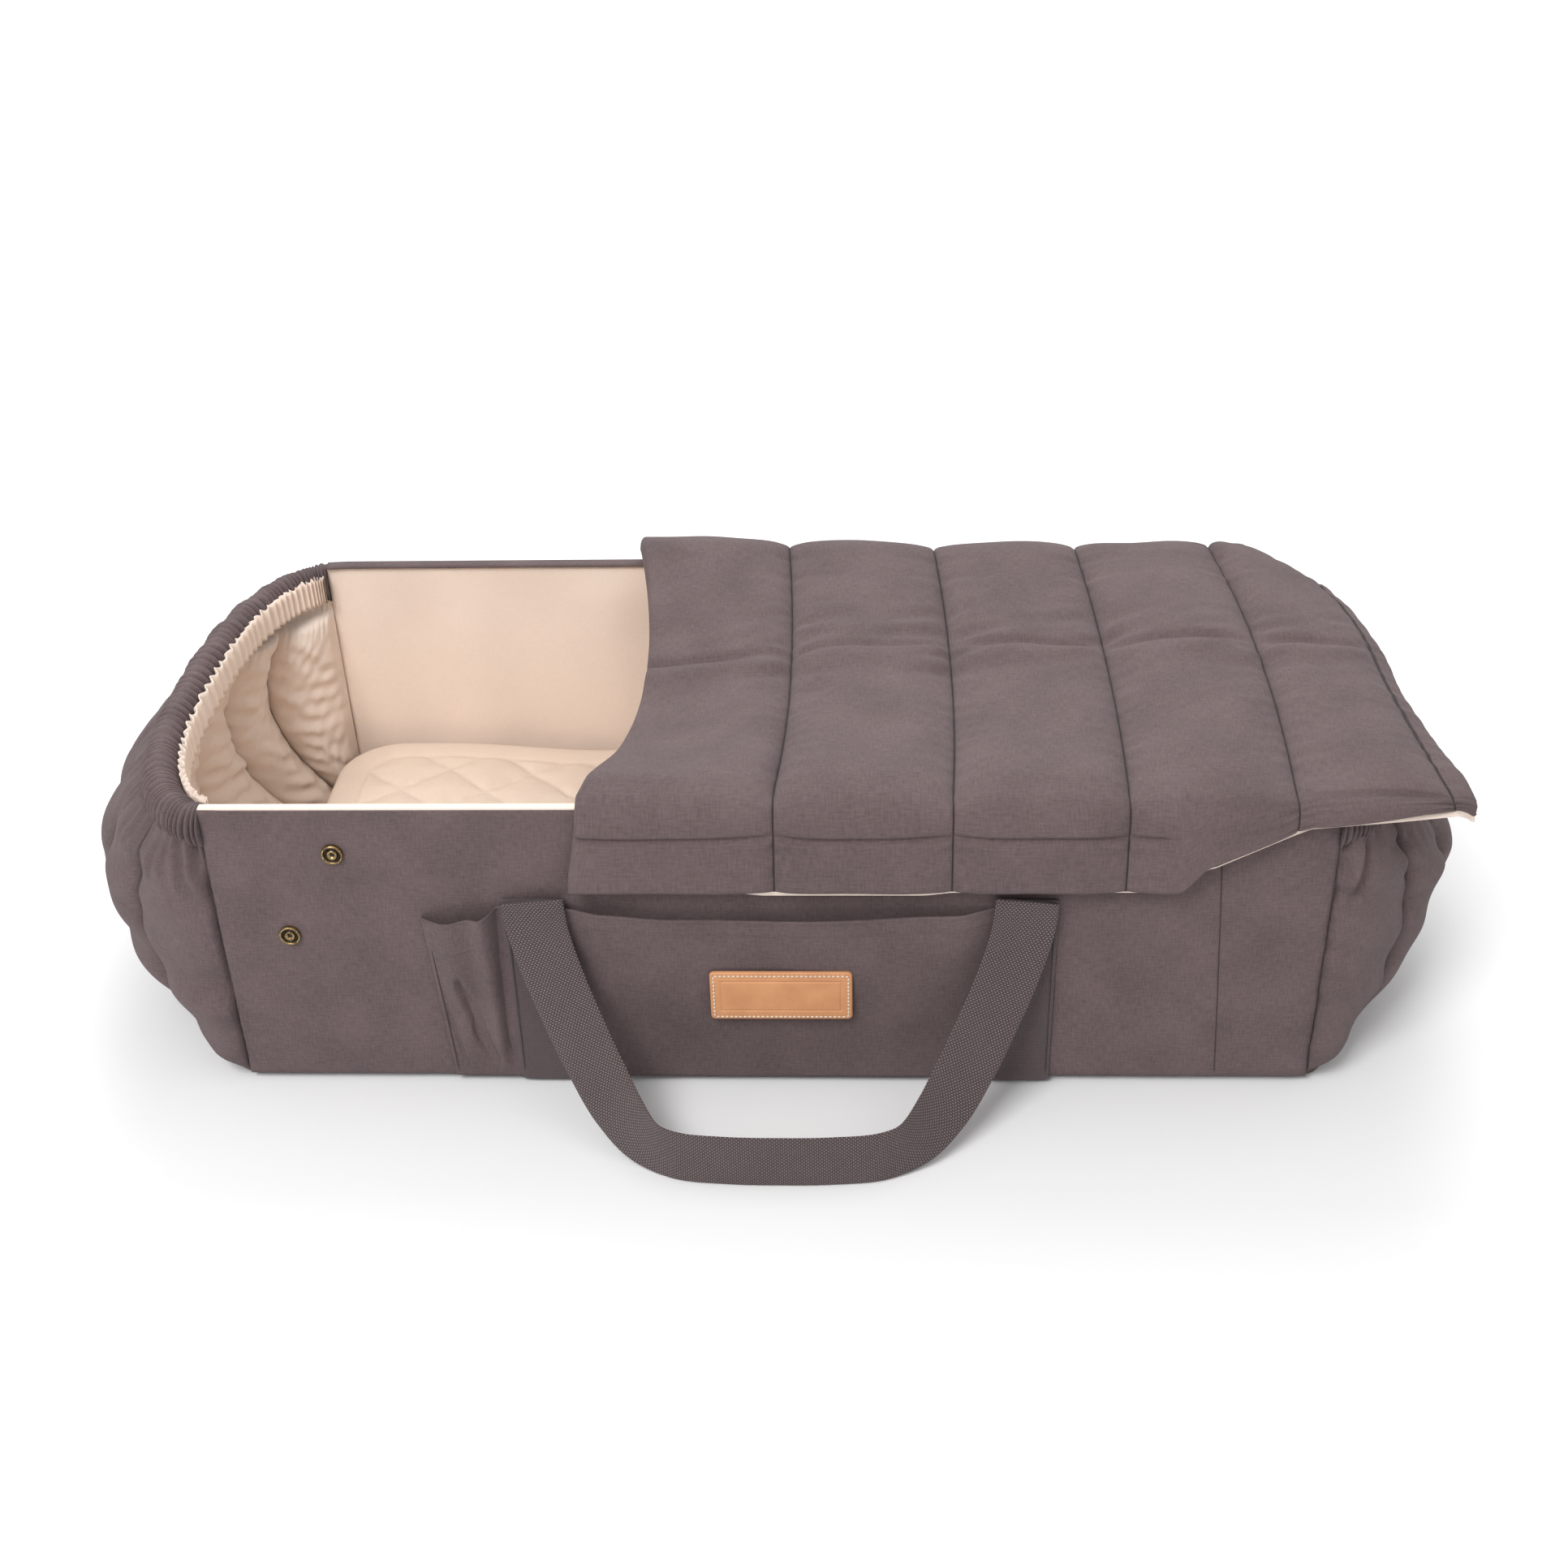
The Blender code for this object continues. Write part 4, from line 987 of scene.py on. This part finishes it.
def ribbon_tube(centre, wide, thick_way):
    """A flat tube of webbing round a centre line.

    Its section is a superellipse: WEB_WIDTH / 2 * cos^0.55 by WEB_THICK / 2 * sin^0.7."""
    a = np.linspace(0, 2 * math.pi, 32, endpoint=False)
    across = np.sign(np.cos(a)) * np.abs(np.cos(a)) ** 0.55 * WEB_WIDTH / 2
    deep = np.sign(np.sin(a)) * np.abs(np.sin(a)) ** 0.70 * WEB_THICK / 2
    return (centre[:, None] + wide[:, None] * across[None, :, None]
            + thick_way[:, None] * deep[None, :, None])


def thread_tube(name, points, radius, slot="twill"):
    """A thin round thread along a row of points."""
    run = np.gradient(points, axis=0)
    run /= np.linalg.norm(run, axis=1, keepdims=True)
    one = np.cross(run, [0.3, 1.0, 0.2])
    one /= np.linalg.norm(one, axis=1, keepdims=True)
    two = np.cross(run, one)
    a = np.linspace(0, 2 * math.pi, 6, endpoint=False)
    ring = one[:, None] * np.cos(a)[None, :, None] + two[:, None] * np.sin(a)[None, :, None]
    P = points[:, None] + radius * ring
    return piece(loop(name, P, [thread_and_seam_shade_dark]), "cot", slot)


def wall_line(x0, z0, x1, z1, proud):
    """Points on the front wall's face from (x0, z0) to (x1, z1), `proud` out of it."""
    t = np.linspace(0, 1, 120)
    z = mix(z0, z1, t)
    path = wall_path(400, out=proud)
    x = mix(x0, x1, t)
    y = np.interp(z, path[:, 1], path[:, 0]) + wall_relief(x, z, -1)
    return np.stack([x, -y, z], 1)


def make_strap(name, middle, replaced):
    """Webbing along one section path of both walls and the base, at x = middle, on the walls' relief."""
    half = wall_path(150, out=0.0022, top=STRAP_TOP, tuck=lean(HALF_WIDTH, 0.012) - BOTTOM_ROUND)
    path = np.concatenate([half[::-1] * [-1, 1], half[1:]])
    centre = np.column_stack([np.full(len(path), middle), path])
    centre[:, 2] = np.maximum(centre[:, 2], 0.0012)
    for side in (-1, 1):
        relief = side * np.maximum(wall_relief(centre[:, 0], centre[:, 2], side), -0.001)
        centre[:, 1] += np.where((centre[:, 1] * side > 0.1) & (centre[:, 2] > 0.012), relief, 0)
    run = np.gradient(centre, axis=0)
    run /= np.linalg.norm(run, axis=1, keepdims=True)
    wide = np.tile([1.0, 0, 0], (len(path), 1))
    P = ribbon_tube(centre, wide, np.cross(run, wide))
    return piece(loop(name, P, [ribbed]), "cot", "webbing", replaced)


make_strap("sewn_strap_head", STRAP_MID - STRAP_X, "carry_strap_head")
make_strap("sewn_strap_foot", STRAP_MID + STRAP_X, "carry_strap_foot")


# %% Handles
HANDLE_POINTS = [(0.1457, 0.1752, 0.1420), (0.1430, 0.1772, 0.1180), (0.1345, 0.1865, 0.0930),
                 (0.1230, 0.2000, 0.0700), (0.1100, 0.2160, 0.0490), (0.0960, 0.2330, 0.0320),
                 (0.0800, 0.2490, 0.0220), (0.0600, 0.2590, 0.0192), (0.0300, 0.2625, 0.0188)]


def smooth_curve(points):
    """Catmull-Rom: between b and c the curve passes through both and leaves b along c - a."""
    p = np.array(points)
    p = np.concatenate([[2 * p[0] - p[1]], p, [2 * p[-1] - p[-2]]])
    t = np.linspace(0, 1, 14, endpoint=False)[:, None]
    rows = [0.5 * (2 * b + (c - a) * t + (2 * a - 5 * b + 4 * c - d) * t ** 2
                   + (3 * b - a - 3 * c + d) * t ** 3) for a, b, c, d in zip(p, p[1:], p[2:], p[3:])]
    return np.concatenate(rows + [p[-2:-1]])


def make_handle(name, side, replaced):
    """Webbing along the smooth curve through HANDLE_POINTS and their mirror."""
    left = [(-x, y, z) for x, y, z in HANDLE_POINTS]
    middle = [(0.0, 0.2632, 0.0188)]
    route = smooth_curve([*left, *middle, *HANDLE_POINTS[::-1]])
    route = route + [STRAP_MID, 0, 0]
    route[:, 1] *= side
    run = np.gradient(route, axis=0)
    run /= np.linalg.norm(run, axis=1, keepdims=True)
    wide = np.cross(run, [0, side, 0])
    wide /= np.linalg.norm(wide, axis=1, keepdims=True)
    P = ribbon_tube(route, wide, np.cross(run, wide))
    handle = loop(name, P, [webbing])
    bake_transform(handle)
    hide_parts(replaced)
    length = np.linalg.norm(np.diff(route, axis=0), axis=1).sum()
    print(name, "length", round(float(length), 3))


make_handle("webbing_handle_front", -1, "handle_front")
make_handle("webbing_handle_rear", 1, "handle_rear")

# %% [markdown]
# ## Pockets
#
# The wide pocket is sewn under both straps and along its foot, so only its mouth can gape. The pen
# pocket beside it has more cloth than the wall behind it: its mouth stands open, and the spare
# cloth falls into folds that meet near its foot. A fold here is a groove along a straight line.

# %% Pocket panels
POCKET_FOOT, POCKET_PROUD, POCKET_OVERLAP = 0.0052, 0.0016, 0.002


def wall_y(z):
    """How far out a pocket's cloth starts on the wall, at heights z."""
    path = wall_path(400, out=POCKET_PROUD)
    return np.interp(z, path[:, 1], path[:, 0])


def pocket_panel(name, P, replaced):
    """A closed panel from the points of its outer face, CLOTH thick, with a doubled hem at its mouth."""
    inner = P.copy()
    inner[..., 1] += CLOTH * 1.1
    return piece(slab(name, P, inner, [twill]), "cot", "twill", replaced)


def groove(u, w, start, end, width):
    """A groove from start to end: exp(-(distance / width)^2), fading out at both ends."""
    a, b = np.array(start), np.array(end)
    d = b - a
    t = ((u - a[0]) * d[0] + (w - a[1]) * d[1]) / (d @ d)
    away = np.hypot(u - a[0] - t * d[0], w - a[1] - t * d[1])
    return np.exp(-(away / width) ** 2) * smooth(t / 0.25 + 0.5) * smooth((1 - t) / 0.15 + 0.5)


def make_front_pocket():
    """The wide pocket: the wall's face plus gape + soft + hem. The gape grows towards the mouth."""
    low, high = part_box("front_pocket")
    u, w = np.meshgrid(np.linspace(0, 1, 241), np.linspace(0, 1, 111), indexing="ij")
    x = mix(low.x - POCKET_OVERLAP, high.x + POCKET_OVERLAP, u)
    mouth = high.z - 0.0052 * np.sin(math.pi * u) ** 0.8 + 0.0005 * waves(x, x * 0, 401, 0.04)
    z = mix(POCKET_FOOT, mouth, w)
    gape = 0.0062 * smooth(np.minimum(u, 1 - u) / 0.09) * smooth((w - 0.15) / 0.85)
    soft = 0.0011 * waves(x, z, 402, 0.075, 0.7, 0.7)
    soft = soft * smooth(np.minimum(u, 1 - u) / 0.06) * smooth(w / 0.15)
    hem = 0.0005 * smooth((z - mouth + 0.012) / 0.0012) + 0.0010 * hump(z, mouth - 0.0005, 0.0020)
    y = wall_y(z) + gape + soft + hem
    pocket_panel("wide_pocket", np.stack([x, -y, z], -1), "front_pocket")


def make_pen_pocket():
    """The pen pocket: the wall's face plus gape + ridge + hem, less the folds' grooves."""
    low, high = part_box("pen_pocket")
    u, w = np.meshgrid(np.linspace(0, 1, 121), np.linspace(0, 1, 161), indexing="ij")
    left = mix(-0.1985, low.x - 0.0012, w)
    x = mix(left, high.x + POCKET_OVERLAP, u)
    mouth = mix(high.z - 0.0035, high.z + 0.0050, u ** 1.5)
    z = mix(POCKET_FOOT, mouth, w)
    gape = 0.0078 * np.sin(math.pi * np.clip(u, 0, 1)) ** 0.7 * smooth((w - 0.30) / 0.7)
    ridge = 0.0058 * hump(u, 0.74, 0.12) * smooth(w / 0.22) + 0.0036 * hump(u, 0.32, 0.18) * smooth(w / 0.3)
    folds = (0.0090 * groove(u, w, (0.42, 0.33), (0.68, 0.09), 0.042)
             + 0.0050 * groove(u, w, (0.30, 0.62), (0.52, 0.28), 0.055)
             + 0.0060 * groove(u, w, (0.90, 1.02), (0.90, 0.20), 0.055)
             + 0.0022 * groove(u, w, (0.10, 0.42), (0.22, 0.02), 0.030))
    hem = 0.0006 * smooth((z - mouth + 0.024) / 0.0010) + 0.0008 * hump(z, mouth, 0.0016)
    y = np.maximum(wall_y(z) + gape + ridge + hem - folds, wall_y(z))
    pocket_panel("narrow_pocket", np.stack([x, -y, z], -1), "pen_pocket")


make_front_pocket()
make_pen_pocket()

# %% Seam threads
thread_tube("pen_pocket_stitch", wall_line(-0.2035, 0.118, -0.1965, 0.012, 0.0032), 0.00028)
thread_tube("front_wall_topstitch", wall_line(0.262, 0.197, 0.2735, 0.010, 0.0002), 0.00032)
for name, x in (("head", STRAP_MID - STRAP_X), ("foot", STRAP_MID + STRAP_X)):
    for edge in (-1, 1):
        at = x + edge * (WEB_WIDTH / 2 - 0.0022)
        thread_tube(f"strap_stitch_{name}_{'outer' if edge * x > 0 else 'inner'}",
                    wall_line(at, STRAP_TOP - 0.004, at, 0.012, 0.0032), 0.00024, "webbing")

# %% [markdown]
# ## Leather label
#
# A plain tan leather label is sewn on the wide pocket. Its face is slightly domed towards its
# edges, an inner frame is pressed into it, and cream stitches run round it. It carries no mark.

# %% Label
LABEL_CORNER, LABEL_THICK, LABEL_EDGE = 0.003, 0.0016, 0.0012
FRAME_INSET, STITCH_INSET, STITCH_CORNER = 0.0068, 0.0024, 0.0012
STITCH_STEP, STITCH_THICK, STITCH_RING, STITCH_SECTIONS = 0.0027, 0.00055, 6, 5


def make_label():
    """The label's face on the leaning wall, and its stitches.

    lift = LABEL_THICK * quarter circle at the edge, less a bell along the frame and along the
    stitches. A stitch is a small spindle laid along the outline, one every STITCH_STEP."""
    low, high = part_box("leather_label")
    cx, cz = (low.x + high.x) / 2, (low.z + high.z) / 2
    half_x, half_z = (high.x - low.x) / 2, (high.z - low.z) / 2
    tilt = math.atan2(lean(HALF_WIDTH, 0) - HALF_WIDTH, RIM_Z)
    u, v = np.meshgrid(np.linspace(-1, 1, 261), np.linspace(-1, 1, 121), indexing="ij")
    bend = np.maximum(np.abs(v * half_z) - (half_z - LABEL_CORNER), 0)
    x = u * (half_x - LABEL_CORNER + np.sqrt(np.maximum(LABEL_CORNER ** 2 - bend ** 2, 0)))
    z = v * half_z
    d = edge_distance(x, z, half_x, half_z, LABEL_CORNER)
    frame_line = hump(d, FRAME_INSET, 0.00055)
    stitch_bed = hump(d, STITCH_INSET, 0.0007)
    face = LABEL_THICK * np.sqrt(np.clip(1 - (1 - np.clip(d / LABEL_EDGE, 0, 1)) ** 2, 0, 1))
    face = face - 0.00045 * frame_line
    face -= 0.00025 * stitch_bed
    back_y = -low.y - LABEL_THICK
    out = math.cos(tilt)

    def place(px, pz, lift):
        y = back_y - 0.0008 + lift * out - pz * math.tan(tilt)
        return np.stack([cx + px, -y, cz + pz], -1)

    piece(slab("tan_label", place(x, z, face), place(x, z, 0 * face - 0.0004), [leather]), "cot", "leather",
          "leather_label")
    a, b, r = half_x - STITCH_INSET, half_z - STITCH_INSET, STITCH_CORNER
    outline = []
    for sx, sz, start in ((1, 1, 0), (-1, 1, 90), (-1, -1, 180), (1, -1, 270)):
        for angle in np.radians(np.linspace(start, start + 90, 7)):
            outline.append((sx * (a - r) + r * math.cos(angle), sz * (b - r) + r * math.sin(angle)))
    outline = np.array(outline + outline[:1])
    length = np.concatenate([[0], np.cumsum(np.hypot(*np.diff(outline, axis=0).T))])
    count = int(length[-1] / STITCH_STEP)
    faces, points, uvs = [], [], []
    ring = np.linspace(0, 2 * math.pi, STITCH_RING, endpoint=False)
    body = STITCH_RING * STITCH_SECTIONS
    for k in range(count):
        at = np.linspace((k + 0.16) / count, (k + 0.84) / count, STITCH_SECTIONS) * length[-1]
        px, pz = np.interp(at, length, outline[:, 0]), np.interp(at, length, outline[:, 1])
        lift = 0.0015 + 0.00030 * np.sin(np.linspace(0, math.pi, STITCH_SECTIONS))
        centre = place(px, pz, lift)
        run = centre[-1] - centre[0]
        run /= np.linalg.norm(run)
        one = np.cross(run, [0, -1, 0])
        size = STITCH_THICK * np.array([0.35, 0.9, 1.0, 0.9, 0.35])
        P = (centre[:, None] + one * (np.cos(ring)[None, :] * size[:, None])[..., None]
             + np.array([0, -1, 0]) * (np.sin(ring)[None, :] * size[:, None])[..., None])
        start = k * (body + 2)
        points.append(np.concatenate([P.reshape(-1, 3), P[:1].mean(1), P[-1:].mean(1)]))
        quads = grid_faces(STITCH_SECTIONS, STITCH_RING, start, wrap=True)
        near = np.arange(0, STITCH_RING, 2)
        middle, after = (near + 1) % STITCH_RING, (near + 2) % STITCH_RING
        tip = start + body - STITCH_RING
        first = np.stack([np.full(3, start + body), start + after, start + middle, start + near], -1)
        last = np.stack([np.full(3, start + body + 1), tip + near, tip + middle, tip + after], -1)
        faces.append(np.concatenate([quads, first, last]))
        uvs.append(np.column_stack([points[-1][:, 0], points[-1][:, 2]]))
    stitches = make_mesh("label_stitches", np.concatenate(points), np.concatenate(faces),
                         np.concatenate(uvs), [thread_cream])
    piece(stitches, "cot", "lining")


make_label()

# %% [markdown]
# ## Press studs
#
# Each stud is a turned shape: a rolled brass ring, a dark groove inside it, and a low ring round
# the centre. Its profile is a row of (radius, height) pairs, turned about the wall's normal.

# %% Studs
def dark_metal():
    """Blackened steel in the groove of a stud: the same shape of finish as the brass, but darker."""
    material, tree, shader = new_finish("dark_metal", Metallic=0.8, Roughness=0.5)
    clouded(tree, shader, 900.0, 3.0, (0.35, (0.018, 0.014, 0.012)), (0.65, (0.055, 0.045, 0.035)))
    return material


STUD_PROFILE = [(0.0002, 0.0009), (0.0008, 0.0010), (0.0014, 0.0012), (0.0019, 0.0020), (0.0026, 0.0022),
                (0.0031, 0.0018), (0.0033, 0.0008), (0.0038, 0.0006), (0.0046, 0.0006), (0.0049, 0.0012),
                (0.0052, 0.0020), (0.0057, 0.0024), (0.0062, 0.0021), (0.0065, 0.0014), (0.0066, 0.0004),
                (0.0064, -0.0003), (0.0004, -0.0003)]
STUD_STEPS = 48
blackened = dark_metal()


def make_stud(side_name, side, level):
    """STUD_PROFILE turned about Y and sheared to the wall's lean: x = r cos, z = r sin, y = out + h."""
    low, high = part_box(f"{side_name}_stud_{level}")
    cx, cz = (low.x + high.x) / 2, (low.z + high.z) / 2
    wall = lean(HALF_WIDTH, cz)
    turn = np.linspace(0, 2 * math.pi, STUD_STEPS, endpoint=False)
    r, h = np.array(STUD_PROFILE).T
    P = np.zeros((len(r), STUD_STEPS, 3))
    P[..., 0] = cx + r[:, None] * np.cos(turn)
    P[..., 2] = cz + r[:, None] * np.sin(turn)
    sheared = LEAN * HALF_WIDTH / RIM_Z * r[:, None] * np.sin(turn)
    P[..., 1] = side * (wall + 0.0004 + h[:, None] - sheared)
    stud = loop(f"stud_{side_name}_{level}", P, [brass, blackened])
    rows = np.repeat(np.arange(len(r) - 1), STUD_STEPS)
    dark = (rows <= 1) | ((rows >= 5) & (rows <= 8))
    slots = np.concatenate([dark, np.zeros(STUD_STEPS)]).astype(np.int32)
    stud.data.polygons.foreach_set("material_index", slots)
    piece(stud, "cot", "brass", f"{side_name}_stud_{level}")


for side_name, side in (("front", -1), ("rear", 1)):
    for level in ("upper", "lower"):
        make_stud(side_name, side, level)

# %% Bottom panel
def make_bottom():
    """A flat panel that joins the walls and the ends: straight sides, then half a superellipse."""
    low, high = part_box("bottom_panel")
    u, v = np.meshgrid(np.linspace(-1, 1, 201), np.linspace(-1, 1, 81), indexing="ij")
    x = u * (high.x - 0.002)
    past = np.clip((np.abs(x) - HALF_LENGTH) / (high.x - HALF_LENGTH), 0, 1)
    half = (lean(HALF_WIDTH, 0) - BOTTOM_ROUND) * (1 - past ** 2) ** (1 / END_SQUARE)
    flat = np.stack([x, v * np.maximum(half, 0.002), np.full(x.shape, low.z)], -1)
    piece(slab("bottom_cotton", flat, flat + [0, 0, CLOTH], [twill]), "cot", "twill", "bottom_panel")


make_bottom()

# %% [markdown]
# ## Pieces kept as they are
#
# The base board and the posts of the studs keep the model's own shapes. They only need a finish.

# %% Finishes for the kept pieces
kept = {"base_board": board}
for n in frame["nodes"]:
    if "stud_post" in n:
        kept[n] = brass
for n, material in kept.items():
    mesh = bpy.data.objects[n].data
    mesh.materials.clear()
    mesh.materials.append(material)
print("kept", sorted(kept))

# %% [markdown]
# ## Floor, light and camera
#
# The cot stands on a plain white floor. A large soft light hangs in front, above and to the left.
# Weaker ones fill from the right and from overhead, one lights the back, one the floor far behind,
# and an even sky the rest. The camera stands in front and looks down by about 32 degrees.

# %% Stage
def area_light(name, place, target, size, power):
    """A square soft light of `size` metres and `power` watts at place, facing target."""
    data = bpy.data.lights.new(name, "AREA")
    data.shape, data.size, data.size_y = "RECTANGLE", size, size
    data.energy = power
    obj = bpy.data.objects.new(name, data)
    bpy.context.scene.collection.objects.link(obj)
    obj.location = place
    obj.rotation_euler = (Vector(target) - Vector(place)).to_track_quat("-Z", "Y").to_euler()


floor_mesh = bpy.data.meshes.new("floor")
floor_mesh.from_pydata([(-9, -9, 0), (9, -9, 0), (9, 14, 0), (-9, 14, 0)], [], [(0, 1, 2, 3)])
floor = bpy.data.objects.new("floor", floor_mesh)
bpy.context.scene.collection.objects.link(floor)
floor.location.z = -0.0005
paper = bpy.data.materials.new("white_paper")
paper.use_nodes = True
paper_shader = paper.node_tree.nodes["Principled BSDF"]
paper_shader.inputs["Base Color"].default_value = (0.82, 0.82, 0.825, 1)
paper_shader.inputs["Roughness"].default_value = 0.9
paper_shader.inputs["Specular IOR Level"].default_value = 0.1
floor_mesh.materials.append(paper)

for light in (("key", (-0.9, -1.8, 2.4), (0, 0, 0.1), 1.2, 60),
              ("fill", (1.3, -2.0, 2.0), (0, 0, 0.1), 1.6, 4),
              ("overhead", (0.55, 0.2, 2.6), (-0.3, 0, 0.1), 1.2, 6),
              ("back", (0.0, 1.9, 2.4), (0, 0.2, 0.0), 1.8, 26),
              ("backdrop", (0.0, 5.0, 3.2), (0, 5.5, 0.0), 4.0, 260)):
    area_light(*light)
world = bpy.data.worlds.new("studio")
bpy.context.scene.world = world
world.use_nodes = True
world.node_tree.nodes["Background"].inputs["Color"].default_value = (1.0, 1.0, 1.0, 1)
world.node_tree.nodes["Background"].inputs["Strength"].default_value = 0.64
bpy.context.scene.view_settings.view_transform = "Standard"

# %% Camera
CAMERA_PLACE = Vector((0.0562, -1.0835, 0.8016))
PITCH, YAW, ROLL = math.radians(32.457), math.radians(-2.756), math.radians(-1.626)
FOCAL_SHARE, SENSOR = 1.2213, 36.0
forward = Vector((math.sin(YAW) * math.cos(PITCH), math.cos(YAW) * math.cos(PITCH), -math.sin(PITCH)))
level = Vector((math.cos(YAW), -math.sin(YAW), 0))
above = level.cross(forward)
right = level * math.cos(ROLL) + above * math.sin(ROLL)
up = above * math.cos(ROLL) - level * math.sin(ROLL)
camera_data = bpy.data.cameras.new("camera")
camera_data.sensor_width = SENSOR
camera_data.lens = SENSOR * FOCAL_SHARE
camera = bpy.data.objects.new("camera", camera_data)
bpy.context.scene.collection.objects.link(camera)
turn = Matrix((right, up, -forward)).transposed().to_4x4()
camera.matrix_world = Matrix.Translation(CAMERA_PLACE) @ turn
bpy.context.scene.camera = camera
